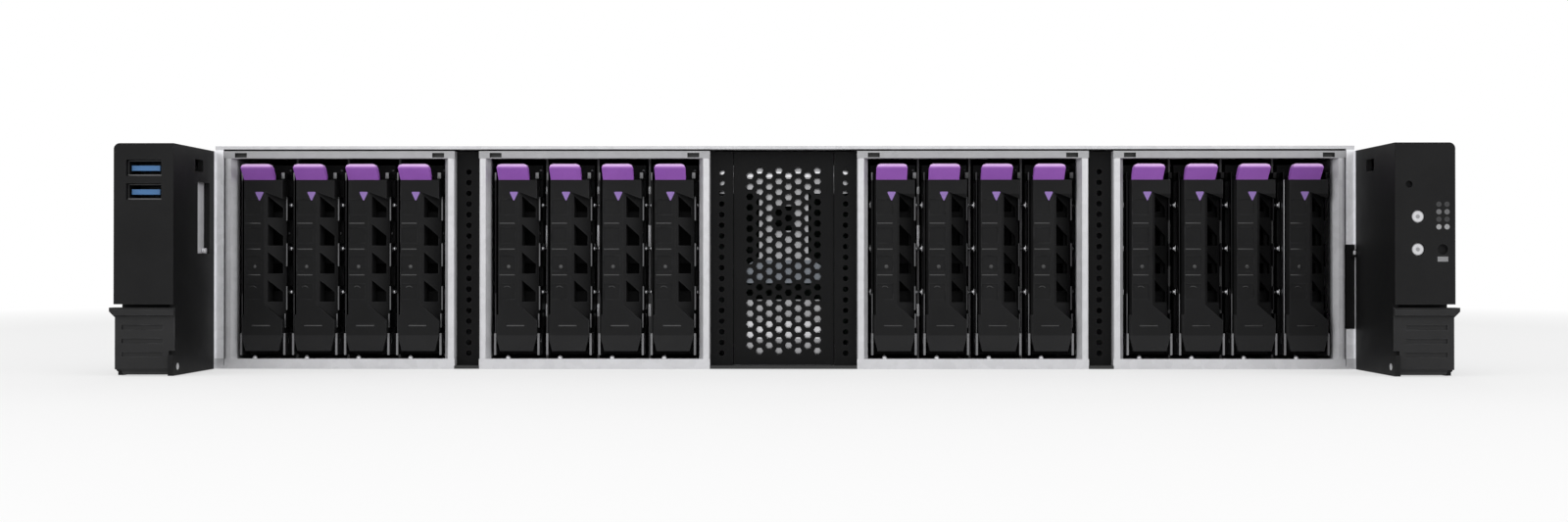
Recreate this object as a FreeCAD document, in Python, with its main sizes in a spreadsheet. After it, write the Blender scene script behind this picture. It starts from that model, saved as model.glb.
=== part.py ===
import FreeCAD, Part
import os
import Sketcher

os.makedirs("parts", exist_ok=True)
Vector = FreeCAD.Vector
doc = FreeCAD.newDocument("RackServer")
sheet = doc.addObject("Spreadsheet::Sheet", "Sizes")
layout = doc.addObject("App::VarSet", "Layout")

# Driving sizes of the server in millimetres.
sizes = [
    # sheet metal
    ("wall_sheet", 1.2), ("cage_sheet", 1.0), ("lid_sheet", 1.2), ("divider_sheet", 0.8),
    ("bracket_sheet", 1.5), ("seam", 0.25),
    # drive bays
    ("bay_pitch", 20.2), ("cage_lip", 4.2), ("lip_depth", 5.0), ("strip_gap", 9.4),
    ("centre_gap", 56.8), ("side_clear", 2.25), ("bottom_lip", 2.6), ("top_lip", 2.8),
    ("bay_gap_low", 1.4), ("bay_gap_high", 2.05), ("lid_gap", 0.7),
    # 2.5-inch drive and its carrier
    ("drive_width", 15.0), ("drive_height", 69.85), ("drive_length", 100.45),
    ("carrier_width", 17.6), ("rail_thick", 2.1), ("cheek", 0.8), ("play", 0.1),
    ("bezel_depth", 6.0), ("bezel_hole", 11.0), ("bezel_pitch", 15.6),
    # lever with its pull tab
    ("lever_set", 1.0), ("lever_depth", 7.5), ("lever_foot", 1.6), ("lever_height", 66.2),
    ("pin_back", 3.6), ("pin_rise", 4.0), ("pin_radius", 1.2), ("bore_gap", 0.3), ("swing", 6.4),
    ("foot_bevel", 1.5), ("scoop_start", 0.9), ("scoop_slope", 0.74), ("window_left", 2.0),
    ("window_right", 6.8), ("window_height", 8.4), ("window_pitch", 10.9), ("window_lean", 4.6),
    ("pocket_depth", 0.3), ("tab_width", 11.8), ("tab_shift", 1.0), ("tab_height", 6.0),
    ("tab_lean", 4.4), ("tab_corner", 1.5), ("lever_edge", 0.5),
    ("lever_bevel", 1.0), ("bevel_depth", 4.0),
    # perforated panels in the front
    ("vent_set", 4.0), ("vent_thick", 1.5), ("grille_half", 19.4), ("dot_radius", 1.1),
    ("dot_pitch", 4.14), ("comb_radius", 1.5), ("comb_step", 3.76), ("comb_rise", 4.14),
    # rack ears
    ("ear_width", 21.65), ("ear_reach", 42.0), ("ear_drop", 2.0), ("ear_wall", 2.0),
    ("ear_corner", 2.2), ("ear_notch", 1.2), ("latch_height", 24.6), ("latch_depth", 5.6),
    ("latch_set", 1.2), ("latch_lip", 2.0), ("latch_gap", 1.2), ("ear_pin_back", 4.2),
    ("ear_pin_rise", 3.2), ("knuckle", 3.2), ("end_knuckle", 1.9), ("latch_skin", 0.7),
    ("ear_pin_radius", 1.25), ("leg_length", 30.0),
    ("usb_wide", 12.4), ("usb_tall", 5.6), ("usb_deep", 14.0), ("usb_pitch", 8.6),
    ("usb_drop", 8.9), ("usb_wall", 0.4), ("button_radius", 2.15), ("button_drop", 26.6),
    ("button_pitch", 11.8), ("button_in", 8.3), ("button_length", 6.0),
    # inside, from the backplane to the rear wall
    ("plug_gap", 0.5), ("plug_length", 10.0), ("plug_height", 32.0), ("plane_sheet", 2.0),
    ("fan_space", 24.0), ("fan_depth", 38.0), ("fan_low", 1.0), ("fan_rim", 1.6),
    ("hub_radius", 16.0), ("tip_gap", 3.0), ("blade_thick", 1.4), ("board_space", 14.0),
    ("board_length", 490.0), ("board_sheet", 1.6), ("board_rise", 6.5), ("rear_space", 8.0),
    ("sink_width", 72.0), ("sink_length", 104.0), ("sink_base", 5.0), ("sink_height", 52.0),
    ("fin_sheet", 0.6), ("fin_count", 23), ("socket_height", 6.0), ("module_pitch", 7.4),
    ("module_length", 133.35), ("module_height", 31.25), ("module_sheet", 1.3),
    # power supplies
    ("psu_width", 73.5), ("psu_length", 185.0), ("psu_play", 0.6), ("shelf_sheet", 1.2),
    ("psu_proud", 1.0), ("rear_reach", 28.0), ("inlet_wide", 24.6), ("inlet_tall", 17.0),
    ("inlet_deep", 16.0), ("handle_thick", 5.0), ("handle_bar", 5.0), ("psu_fan_radius", 16.5),
    # rear wall
    ("slot_wide", 112.0), ("slot_tall", 14.0), ("slot_pitch", 17.2), ("slot_lap", 1.5),
    ("port_deep", 18.0), ("port_proud", 0.6), ("stud_radius", 3.5), ("stud_length", 2.8),
    # lid latch
    ("tub_wide", 74.0), ("tub_long", 62.0), ("tub_deep", 10.0), ("tub_sheet", 1.0),
    ("handle_wide", 66.0), ("handle_long", 44.0), ("hinge_radius", 1.5),
]


class Term:
    def __init__(self, text, value):
        self.text = text
        self.value = value

    def __add__(self, other):
        other = term(other)
        return Term(f"({self.text} + {other.text})", self.value + other.value)

    def __sub__(self, other):
        other = term(other)
        return Term(f"({self.text} - {other.text})", self.value - other.value)

    def __mul__(self, other):
        other = term(other)
        return Term(f"({self.text} * {other.text})", self.value * other.value)

    def __truediv__(self, other):
        other = term(other)
        return Term(f"({self.text} / {other.text})", self.value / other.value)

    def __radd__(self, other):
        return term(other) + self

    def __rsub__(self, other):
        return term(other) - self

    def __rmul__(self, other):
        return term(other) * self

    def __neg__(self):
        return Term(f"(0 - {self.text})", -self.value)


def term(size):
    if isinstance(size, Term):
        return size
    return Term(f"({size})", size)


for row, (alias, value) in enumerate(sizes, 1):
    sheet.set(f"A{row}", alias)
    sheet.set(f"B{row}", str(value))
    sheet.setAlias(f"B{row}", alias)
doc.recompute()


class Sized:
    pass


s = Sized()
for alias, value in sizes:
    setattr(s, alias, Term(f"Sizes.{alias}", float(sheet.get(alias))))


def derive(name, size):
    layout.addProperty("App::PropertyFloat", name, "Layout")
    layout.setExpression(name, size.text)
    return Term(f"Layout.{name}", size.value)


def bind(obj, prop, size):
    obj.setExpression(prop, term(size).text)


def place(obj, x, y, z):
    for axis, size in zip("xyz", (x, y, z)):
        bind(obj, "Placement.Base." + axis, size)


def box(name, x, y, z):
    obj = doc.addObject("Part::Box", name)
    for prop, (low, high) in zip(("Length", "Width", "Height"), (x, y, z)):
        bind(obj, prop, term(high) - low)
    place(obj, x[0], y[0], z[0])
    return obj


def rod(name, axis, start, radius, length):
    turns = {"x": (Vector(0, 1, 0), 90), "y": (Vector(1, 0, 0), -90), "z": (Vector(0, 0, 1), 0)}
    obj = doc.addObject("Part::Cylinder", name)
    bind(obj, "Radius", radius)
    bind(obj, "Height", length)
    obj.Placement = FreeCAD.Placement(Vector(), FreeCAD.Rotation(*turns[axis]))
    place(obj, *start)
    return obj


def group(name, *pieces):
    obj = doc.addObject("Part::Compound", name)
    obj.Links = list(pieces)
    return obj


def join(name, *pieces):
    obj = doc.addObject("Part::MultiFuse", name)
    obj.Shapes = list(pieces)
    obj.Refine = True
    return obj


def cut(name, base, *tools):
    obj = doc.addObject("Part::Cut", name)
    obj.Base = base
    obj.Tool = tools[0] if len(tools) == 1 else group(name + "_tools", *tools)
    obj.Refine = True
    return obj


def common(name, first, second):
    obj = doc.addObject("Part::Common", name)
    obj.Base = first
    obj.Tool = second
    return obj


def copy(name, master, x=0, y=0, z=0):
    obj = group(name, master)
    place(obj, x, y, z)
    return obj


def origin_part(body, role):
    return [part for part in body.Origin.OriginFeatures if part.Role == role][0]


def outline(body, name, plane, points):
    sketch = body.newObject("Sketcher::SketchObject", name)
    sketch.AttachmentSupport = [(origin_part(body, plane + "_Plane"), "")]
    sketch.MapMode = "FlatFace"
    corners = [Vector(term(u).value, term(v).value, 0) for u, v in points]
    total = len(corners)
    for i in range(total):
        sketch.addGeometry(Part.LineSegment(corners[i], corners[(i + 1) % total]), False)
    for i in range(total):
        sketch.addConstraint(Sketcher.Constraint("Coincident", i, 2, (i + 1) % total, 1))
    for i, (u, v) in enumerate(points):
        for kind, size in (("DistanceX", u), ("DistanceY", v)):
            row = sketch.addConstraint(Sketcher.Constraint(kind, i, 1, term(size).value))
            sketch.setExpression(f"Constraints[{row}]", term(size).text)
    return sketch


def pad(body, name, sketch, length, reversed_side=False):
    feature = body.newObject("PartDesign::Pad", name)
    feature.Profile = sketch
    feature.Reversed = reversed_side
    bind(feature, "Length", length)
    return feature


def prism(name, plane, points, start, length):
    body = doc.addObject("PartDesign::Body", name)
    sketch = outline(body, name + "_outline", plane, points)
    pad(body, name + "_pad", sketch, length, plane == "XZ")
    bind(body, "Placement.Base." + {"XY": "z", "XZ": "y", "YZ": "x"}[plane], start)
    return body


def soften(body, radius, pick):
    doc.recompute()
    names = [f"Edge{i}" for i, edge in enumerate(body.Tip.Shape.Edges, 1) if pick(edge)]
    last = body.Tip
    feature = body.newObject("PartDesign::Fillet", body.Name + "_soft")
    feature.Base = (last, names)
    bind(feature, "Radius", radius)
    body.Tip = feature
    return body


def ring(x, y, z, radius, corners):
    spin = FreeCAD.Rotation(Vector(0, 1, 0), 360.0 / corners)
    arm = Vector(radius, 0, 0)
    points = []
    for i in range(corners):
        points.append(Vector(x, y, z) + arm)
        arm = spin.multVec(arm)
    return Part.makePolygon(points + points[:1])


def frame(y, x_low, x_high, z_low, z_high):
    points = [Vector(x_low, y, z_low), Vector(x_high, y, z_low), Vector(x_high, y, z_high),
              Vector(x_low, y, z_high)]
    return Part.makePolygon(points + points[:1])


# A perforated sheet is one outline with all its hole outlines, drawn out to the sheet's thickness.
def perforated(name, x, y, z, spots, radius, corners, windows=()):
    low = term(y[0]).value
    wires = [frame(low, term(x[0]).value, term(x[1]).value, term(z[0]).value, term(z[1]).value)]
    for left, right, foot, head in windows:
        wires.append(frame(low, left.value, right.value, head.value, foot.value))
    for spot_x, spot_z in spots:
        wires.append(ring(spot_x, low, spot_z, radius.value, corners))
    obj = doc.addObject("Part::Feature", name)
    obj.Shape = Part.Face(wires).extrude(Vector(0, term(y[1]).value - low, 0))
    return obj


def side(sign, low, high):
    if sign > 0:
        return (low, high)
    return (-term(high), -term(low))


# Heights: floor, bottom lip, carrier, top lip, lid.
lip_top = derive("lip_top", s.wall_sheet + s.bottom_lip)
carrier_low = derive("carrier_low", lip_top + s.bay_gap_low)
carrier_high = derive("carrier_high", carrier_low + s.drive_height + 2 * s.rail_thick)
cage_top = derive("cage_top", carrier_high + s.bay_gap_high + s.top_lip)
side_top = derive("side_top", cage_top + s.lid_gap)
lid_top = derive("lid_top", side_top + s.lid_sheet)
ear_high = derive("ear_high", lid_top - s.ear_drop)

# Widths: four cages, two narrow strips and the centre panel set the chassis width.
cage_width = derive("cage_width", 4 * s.bay_pitch + 2 * s.cage_lip)
inner_cage = derive("inner_cage", s.centre_gap / 2)
outer_cage = derive("outer_cage", inner_cage + cage_width + s.strip_gap)
half = derive("half", outer_cage + cage_width + s.side_clear + s.wall_sheet)
ear_out = derive("ear_out", half + s.ear_width)

# Depths behind the front plane, one zone after the other.
pin_deep = derive("pin_deep", s.lever_set + s.pin_back)
bezel_front = derive("bezel_front", pin_deep + s.swing)
bezel_back = derive("bezel_back", bezel_front + s.bezel_depth)
drive_front = derive("drive_front", bezel_back + 1)
drive_back = derive("drive_back", drive_front + s.drive_length)
plug_front = derive("plug_front", drive_back + s.plug_gap)
plane_front = derive("plane_front", plug_front + s.plug_length)
cage_depth = derive("cage_depth", plane_front - s.seam)
plane_back = derive("plane_back", plane_front + s.plane_sheet)
fan_front = derive("fan_front", plane_back + s.fan_space)
fan_back = derive("fan_back", fan_front + s.fan_depth)
board_front = derive("board_front", fan_back + s.board_space)
board_back = derive("board_back", board_front + s.board_length)
depth = derive("depth", board_back + s.rear_space + s.wall_sheet)
rear_in = derive("rear_in", depth - s.wall_sheet)
overall = derive("overall", s.ear_reach + depth + s.rear_reach)
front = derive("front", s.ear_reach - overall / 2)

# Every piece is drawn with the front plane at zero depth; the node sets it into the frame.
nodes = []


def node(label, *pieces, x=0):
    obj = group(label, *pieces)
    obj.Label = label
    place(obj, x, front, 0)
    nodes.append(obj)


# Drive carrier: bezel with air windows, two rails, cheeks for the lever pin, and the drive.
half_carrier = s.carrier_width / 2
pin_high = derive("pin_high", carrier_low + s.lever_foot + s.pin_rise)
windows = []
for i in range(4):
    low = carrier_low + 9 + i * s.bezel_pitch
    windows.append(box(f"bezel_window_{i}", (-half_carrier + 2.6, half_carrier - 2.6),
                       (bezel_front - 1, bezel_back + 1), (low, low + s.bezel_hole)))
bezel = cut("bezel", box("bezel_block", (-half_carrier, half_carrier), (bezel_front, bezel_back),
                         (carrier_low, carrier_high)), *windows)
rail_low = box("rail_low", (-s.drive_width / 2, s.drive_width / 2), (bezel_back, drive_back - 3),
               (carrier_low, carrier_low + s.rail_thick))
rail_high = box("rail_high", (-s.drive_width / 2, s.drive_width / 2), (bezel_back, drive_back - 3),
                (carrier_high - s.rail_thick, carrier_high))
cheeks = group("cheeks", *[
    box(f"cheek_{sign + 1}", side(sign, half_carrier - s.cheek, half_carrier),
        (pin_deep - 2.6, bezel_front), (carrier_low, pin_high + 2.8)) for sign in (-1, 1)])
cheek_bore = rod("cheek_bore", "x", (-half_carrier - 1, pin_deep, pin_high),
                 s.pin_radius + s.bore_gap, s.carrier_width + 2)
bored_cheeks = cut("bored_cheeks", cheeks, cheek_bore)
tray = join("carrier_tray", bezel, rail_low, rail_high, bored_cheeks)
drive = box("drive_case", (-s.drive_width / 2, s.drive_width / 2), (drive_front, drive_back),
            (carrier_low + s.rail_thick, carrier_high - s.rail_thick))
carrier = group("carrier_set", tray, drive)

# Lever: flat face with a broken left edge, a sloped right flank with four windows, a pin at its
# foot and the pull tab.
lever_low = derive("lever_low", carrier_low + s.lever_foot)
lever_high = derive("lever_high", lever_low + s.lever_height)
lever_half = derive("lever_half", half_carrier - s.cheek - s.play)
lever_block = prism("lever_block", "XZ", [
    (-lever_half, lever_low + 4 * s.foot_bevel), (-lever_half + s.foot_bevel, lever_low),
    (lever_half - s.foot_bevel, lever_low), (lever_half, lever_low + 4 * s.foot_bevel),
    (lever_half, lever_high), (-lever_half, lever_high)], s.lever_set, s.lever_depth)
lever_pin = rod("lever_pin", "x", (s.play - half_carrier, pin_deep, pin_high), s.pin_radius,
                s.carrier_width - 2 * s.play)
first_window = derive("first_window", lever_high - 6.1)
last_window = derive("last_window", first_window - 3 * s.window_pitch - s.window_height)
flank = prism("flank", "XY", [
    (s.scoop_start, s.lever_set), (s.scoop_start, s.lever_set - 1),
    (lever_half + 1, s.lever_set - 1),
    (lever_half + 1, s.lever_set + (lever_half + 1 - s.scoop_start) * s.scoop_slope)],
    lever_low, s.lever_height)
flank_ends = prism("flank_ends", "XZ", [
    (s.scoop_start, last_window - 1), (lever_half + 1, last_window - 8),
    (lever_half + 1, first_window - 1.5), (s.scoop_start, first_window + 1.5)],
    s.lever_set - 1, s.lever_depth)
scoop = common("scoop", flank, flank_ends)
lever_windows = []
lever_pockets = []
for i in range(4):
    high = first_window - i * s.window_pitch
    low = high - s.window_height
    lever_windows.append(prism(f"lever_window_{i}", "XZ", [
        (s.window_left, low), (s.window_right, low), (s.window_right, high - s.window_lean),
        (s.window_left, high)], s.lever_set - 1, s.lever_depth + 2))
    lever_pockets.append(box(f"lever_pocket_{i}", (-lever_half + 1.3, s.scoop_start - 1.3),
                             (s.lever_set, s.lever_set + s.pocket_depth),
                             (low + 1, low + s.window_height - 1.4)))
lever_slit = box("lever_slit", (-4, 3.4), (s.lever_set, s.lever_set + 2 * s.pocket_depth),
                 (lever_low + 9.4, lever_low + 10.2))
lever_chamfer = prism("lever_chamfer", "XY", [
    (-lever_half - 0.5, s.lever_set - 0.5), (s.lever_edge + 0.5 - lever_half, s.lever_set - 0.5),
    (-lever_half - 0.5, s.lever_set + s.lever_edge + 0.5)], lever_low - 1, s.lever_height + 1)
lever_bevel = prism("lever_bevel", "XY", [
    (-lever_half - 1, s.lever_set - 1), (s.lever_bevel - lever_half, s.lever_set - 1),
    (s.lever_bevel - lever_half, s.lever_set), (-lever_half, s.lever_set + s.bevel_depth),
    (-lever_half - 1, s.lever_set + s.bevel_depth)], lever_low + 14, s.lever_height)
lever_scooped = cut("lever_scooped", join("lever_pinned", lever_block, lever_pin), scoop)
lever = cut("lever", lever_scooped, *lever_windows, *lever_pockets, lever_slit, lever_chamfer, lever_bevel)
tab_high = lever_high + s.tab_height
tab_left = -s.tab_shift - s.tab_width / 2
tab_right = s.tab_width / 2 - s.tab_shift
tab_side = prism("tab_side", "YZ", [
    (s.lever_set, lever_high), (s.lever_set - s.tab_lean, tab_high - 1.5),
    (s.lever_set - s.tab_lean + 0.3, tab_high - 0.4), (s.lever_set - s.tab_lean + 1.2, tab_high),
    (s.lever_set - s.tab_lean + 2.6, tab_high), (s.lever_set + 1.4, lever_high + 1.6),
    (s.lever_set + 5, lever_high + 1.6), (s.lever_set + 5, lever_high)], tab_left, s.tab_width)
tab_face = prism("tab_face", "XZ", [
    (tab_left, lever_high), (tab_right, lever_high), (tab_right, tab_high - s.tab_corner),
    (tab_right - 0.3 * s.tab_corner, tab_high - 0.3 * s.tab_corner), (tab_right - s.tab_corner, tab_high),
    (tab_left + s.tab_corner, tab_high), (tab_left + 0.3 * s.tab_corner, tab_high - 0.3 * s.tab_corner),
    (tab_left, tab_high - s.tab_corner)], s.lever_set - s.tab_lean - 1, s.tab_lean + 7)
tab = common("pull_tab", tab_side, tab_face)
lever_set = group("lever_with_tab", lever, tab)

bay_spots = []
for cage_spot in (-outer_cage - cage_width / 2, -inner_cage - cage_width / 2,
                  inner_cage + cage_width / 2, outer_cage + cage_width / 2):
    for i in range(4):
        bay_spots.append(cage_spot + (i - 1.5) * s.bay_pitch)
for number, spot in enumerate(bay_spots, 1):
    node(f"drive_carrier_{number:02d}", carrier, x=spot)
    node(f"carrier_lever_{number:02d}", lever_set, x=spot)

# Drive cage: folded top, bottom and side sheets with front lips, and three dividers.
cage_half = cage_width / 2
cage_roof = cut("cage_roof", prism("cage_roof_fold", "YZ", [
    (0, cage_top - s.top_lip), (0, cage_top), (cage_depth, cage_top),
    (cage_depth, cage_top - s.cage_sheet), (s.lip_depth, cage_top - s.cage_sheet),
    (s.lip_depth, cage_top - s.top_lip)], -cage_half, cage_width),
    *[box(f"roof_notch_{sign + 1}", side(sign, cage_half - 8.6, cage_half - 4.2), (-1, 1.2),
          (cage_top - 2.4, cage_top - 0.8)) for sign in (-1, 1)])
cage_floor = prism("cage_floor_fold", "YZ", [
    (0, s.wall_sheet), (0, lip_top), (s.lip_depth, lip_top),
    (s.lip_depth, s.wall_sheet + s.cage_sheet), (cage_depth, s.wall_sheet + s.cage_sheet),
    (cage_depth, s.wall_sheet)], -cage_half, cage_width)
cage_pieces = [cage_roof, cage_floor]
for sign in (-1, 1):
    name = "left" if sign < 0 else "right"
    edge = [(0, 1.1), (0.3, 0.3), (1.1, 0), (s.cage_lip - 1.6, 0), (s.cage_lip, 2.6), (s.cage_lip, s.lip_depth),
            (s.cage_sheet, s.lip_depth), (s.cage_sheet, cage_depth), (0, cage_depth)]
    points = [(sign * (cage_half - inset), deep) for inset, deep in edge]
    wall_low = lip_top
    cage_pieces.append(prism(f"cage_{name}_fold", "XY", points, wall_low,
                             cage_top - s.top_lip - wall_low))
for i in range(3):
    spot = (i - 1) * s.bay_pitch
    cage_pieces.append(box(f"cage_divider_{i}", (spot - s.divider_sheet / 2,
                                                 spot + s.divider_sheet / 2),
                           (bezel_front + 2, cage_depth),
                           (s.wall_sheet + s.cage_sheet, cage_top - s.cage_sheet)))
cage = group("cage_set", *cage_pieces)
cages = []
for number, spot in enumerate((-outer_cage - cage_half, -inner_cage - cage_half,
                               inner_cage + cage_half, outer_cage + cage_half), 1):
    cages.append(copy(f"cage_{number}", cage, x=spot))

# Bright bracket behind the centre grille: a tee above and a plate below.
shelf_deep = s.vent_set + s.vent_thick + 5
bracket_tee = prism("bracket_tee", "XZ", [
    (-inner_cage, cage_top - 5), (-inner_cage, cage_top - 16), (-9.6, cage_top - 16), (-9.6, 43),
    (-16, 39), (-16, 33), (16, 33), (16, 39), (9.6, 43), (9.6, cage_top - 16),
    (inner_cage, cage_top - 16), (inner_cage, cage_top - 5)], shelf_deep, s.cage_sheet)
bracket_eye = box("bracket_eye", (-3.9, 3.9), (shelf_deep - 1, shelf_deep + s.cage_sheet + 1),
                  (53.5, 63.2))
bracket_top = cut("bracket_top", bracket_tee, bracket_eye)
bracket_foot = box("bracket_foot", (-s.grille_half, s.grille_half),
                   (shelf_deep, shelf_deep + s.cage_sheet), (s.wall_sheet, 26.5))
node("drive_cages", *cages, bracket_top, bracket_foot)

# Perforated panels: one strip between the cages of each side, a grille with two side strips.
vent_back = s.vent_set + s.vent_thick
vent_low = s.wall_sheet
panel_mid = (vent_low + cage_top) / 2
strips = []
for number, (low, high) in enumerate((
        (-inner_cage - cage_width - s.strip_gap, -inner_cage - cage_width),
        (-inner_cage, -s.grille_half - s.seam), (s.grille_half + s.seam, inner_cage),
        (inner_cage + cage_width, inner_cage + cage_width + s.strip_gap))):
    x = ((low + high) / 2).value
    spots = [(x, panel_mid.value - 1.6 + (i - 8.5) * s.dot_pitch.value) for i in range(18)]
    strips.append(perforated(f"strip_{number}", (low, high), (s.vent_set, vent_back),
                             (vent_low, cage_top), spots, s.dot_radius, 10))
combs = []
for column in range(8):
    x = (column - 3.5) * s.comb_step.value
    rows = 18 if column % 2 else 17
    for i in range(rows):
        combs.append((x, panel_mid.value - 0.9 + (i - (rows - 1) / 2) * s.comb_rise.value))
grille = perforated("grille", (-s.grille_half, s.grille_half), (s.vent_set + 0.6, vent_back + 0.6),
                    (vent_low, cage_top), combs, s.comb_radius, 6)
node("front_vent_panels", *strips, grille)

# Chassis tray: floor, side walls with front flanges, rear wall with its cut-outs.
psu_right = derive("psu_right", half - s.wall_sheet - s.psu_play)
psu_left = derive("psu_left", psu_right - s.psu_width)
bay_wall = derive("bay_wall", psu_left - s.psu_play - s.shelf_sheet)
psu_height = derive("psu_height", (side_top - s.wall_sheet - s.shelf_sheet - 4 * s.psu_play) / 2)
psu_low = derive("psu_low", s.wall_sheet + s.psu_play)
shelf_low = derive("shelf_low", psu_low + psu_height + s.psu_play)
psu_up = derive("psu_up", shelf_low + s.shelf_sheet + s.psu_play)
board_low = derive("board_low", s.wall_sheet + s.board_rise)
board_top = derive("board_top", board_low + s.board_sheet)
wall_in = derive("wall_in", half - s.wall_sheet)
flange_in = derive("flange_in", half - s.side_clear - s.wall_sheet + s.seam)
tray_walls = [box("tray_floor", (-half, half), (0, depth), (0, s.wall_sheet))]
for sign in (-1, 1):
    tray_walls.append(box(f"tray_side_{sign + 1}", side(sign, wall_in, half), (0, depth),
                          (s.wall_sheet, side_top)))
    tray_walls.append(box(f"tray_flange_{sign + 1}", side(sign, flange_in, wall_in),
                          (0, s.wall_sheet), (s.wall_sheet, side_top)))
cover_low = 15.4
cover_high = 48.0
flange_cut = box("flange_cut", (flange_in - 1, half + 1), (-1, 3.4), (cover_low, cover_high))

slot_left = derive("slot_left", -wall_in + 10)
slot_next = derive("slot_next", slot_left + s.slot_wide + 16)
slot_low = derive("slot_low", side_top - 4 - 3 * s.slot_pitch)
slot_spots = []
for column in (slot_left, slot_next):
    for i in range(3):
        slot_spots.append((column, slot_low + i * s.slot_pitch))
rear_windows = [(x, x + s.slot_wide, z, z + s.slot_tall) for x, z in slot_spots]

# Rear sockets on the board: name, place from the left wall, width and height.
ports = [("net_a", 14.0, 16.0, 13.4), ("net_b", 33.0, 16.0, 13.4), ("net_c", 58.0, 16.0, 13.4),
         ("usb_a", 82.0, 14.6, 15.2), ("usb_b", 100.0, 14.6, 15.2), ("video", 124.0, 31.0, 12.6)]
port_solids = []
for name, offset, wide, tall in ports:
    left = -wall_in + offset
    low = board_top
    rear_windows.append((left - 0.4, left + wide + 0.4, low - 0.4, low + tall + 0.4))
    shell = box(f"{name}_shell", (left, left + wide), (rear_in - s.port_deep, depth + s.port_proud),
                (low, low + tall))
    mouth_back = depth + s.port_proud + 1
    if name.startswith("net"):
        port_solids.append(cut(f"{name}_socket", shell,
                               box(f"{name}_mouth", (left + 2.1, left + wide - 2.1),
                                   (depth - 11.5, mouth_back), (low + 3.6, low + 11.6)),
                               box(f"{name}_key", (left + 5, left + wide - 5),
                                   (depth - 11.5, mouth_back), (low + 1.6, low + 3.6))))
    elif name.startswith("usb"):
        mouths = [box(f"{name}_mouth_{i}", (left + 1, left + wide - 1), (depth - 9, mouth_back),
                      (low + 1.2 + i * 7.2, low + 6.4 + i * 7.2)) for i in range(2)]
        tongues = [box(f"{name}_tongue_{i}", (left + 2, left + wide - 2), (depth - 9, depth - 1),
                       (low + 3.9 + i * 7.2, low + 5.7 + i * 7.2)) for i in range(2)]
        port_solids.append(cut(f"{name}_socket", shell, *mouths))
        port_solids.extend(tongues)
    else:
        port_solids.append(shell)
        port_solids.append(prism(f"{name}_hood", "XZ", [
            (left + 7.4, low + 2.4), (left + 23.6, low + 2.4), (left + 24.8, low + 10.2),
            (left + 6.2, low + 10.2)], depth + s.port_proud, 5.4))
node("rear_ports", *port_solids)

vent_left = slot_next + s.slot_wide + 12
vent_spots = []
columns = int((bay_wall.value - 6 - vent_left.value) / 5.2)
for i in range(columns + 1):
    for k in range(13):
        vent_spots.append((vent_left.value + i * 5.2, 14 + k * 5.2 + (i % 2) * 2.6))
rear_wall = perforated("rear_wall", (-wall_in, bay_wall + s.shelf_sheet), (rear_in, depth),
                       (s.wall_sheet, side_top), vent_spots, term(1.9), 6, rear_windows)
tray_shell = cut("tray_shell", join("tray_fold", *tray_walls), flange_cut)
bay_shell = join("bay_shell",
                 box("bay_side", (bay_wall, bay_wall + s.shelf_sheet),
                     (depth - s.psu_length - 20, rear_in), (s.wall_sheet, side_top)),
                 box("bay_shelf", (bay_wall, wall_in), (depth - s.psu_length - 20, rear_in),
                     (shelf_low, shelf_low + s.shelf_sheet)))
tray_extras = []
for sign in (-1, 1):
    name = "left" if sign < 0 else "right"
    plate = box(f"{name}_ear_plate", side(sign, half, ear_out - s.ear_notch),
                (-s.bracket_sheet, 0), (0, ear_high))
    leg = box(f"{name}_ear_leg", side(sign, half, half + s.wall_sheet), (0, s.leg_length),
              (6, ear_high - 6))
    tray_extras.append(join(f"{name}_ear_bracket", plate, leg))
    for i in range(4):
        start = half if sign > 0 else -half - s.stud_length
        tray_extras.append(rod(f"{name}_stud_{i}", "x", (start, depth * (0.14 + 0.24 * i), 43),
                               s.stud_radius, s.stud_length))
node("chassis_base", tray_shell, rear_wall, bay_shell, *tray_extras)

# Slot covers close the openings from inside, each with two rows of air slots.
covers = []
for number, (x, z) in enumerate(slot_spots):
    plate = box(f"slot_plate_{number}", (x - s.slot_lap, x + s.slot_wide + s.slot_lap),
                (rear_in - s.cage_sheet, rear_in), (z - s.slot_lap, z + s.slot_tall + s.slot_lap))
    slits = []
    for i in range(8):
        for k in range(2):
            left = x + 6 + i * (s.slot_wide - 12) / 8
            low = z + 2.2 + k * (s.slot_tall - 2) / 2
            slits.append(box(f"slit_{number}_{i}_{k}", (left + 1, left + (s.slot_wide - 12) / 8 - 1),
                             (rear_in - s.cage_sheet - 1, rear_in + 1), (low, low + 3.4)))
    covers.append(cut(f"slot_cover_{number}", plate, *slits))
node("slot_covers", *covers)

# Lid with a sunk tub for its latch.
tub_front = derive("tub_front", board_back - 235)
tub_back = derive("tub_back", tub_front + s.tub_long)
tub_left = derive("tub_left", -s.tub_wide / 2 - 38)
tub_right = derive("tub_right", tub_left + s.tub_wide)
tub_low = derive("tub_low", side_top - s.tub_deep)
lid_sheet = cut("lid_sheet",
                box("lid_plate", (-half, half), (0, depth), (side_top, lid_top)),
                box("lid_hole", (tub_left, tub_right), (tub_front, tub_back),
                    (side_top - 1, lid_top + 1)))
tub_shell = cut("tub_shell",
                box("tub_block", (tub_left - s.tub_sheet, tub_right + s.tub_sheet),
                    (tub_front - s.tub_sheet, tub_back + s.tub_sheet),
                    (tub_low - s.tub_sheet, side_top)),
                box("tub_hollow", (tub_left, tub_right), (tub_front, tub_back),
                    (tub_low, side_top + 1)))
hinge_deep = derive("hinge_deep", tub_front + 5)
hinge_high = derive("hinge_high", lid_top - 4)
handle_mid = derive("handle_mid", (tub_left + tub_right) / 2)
tub_bore = rod("tub_bore", "x", (tub_left - s.tub_sheet - 1, hinge_deep, hinge_high),
               s.hinge_radius + s.bore_gap, s.tub_wide + 2 * s.tub_sheet + 2)
tub = cut("tub", tub_shell, tub_bore)
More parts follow.
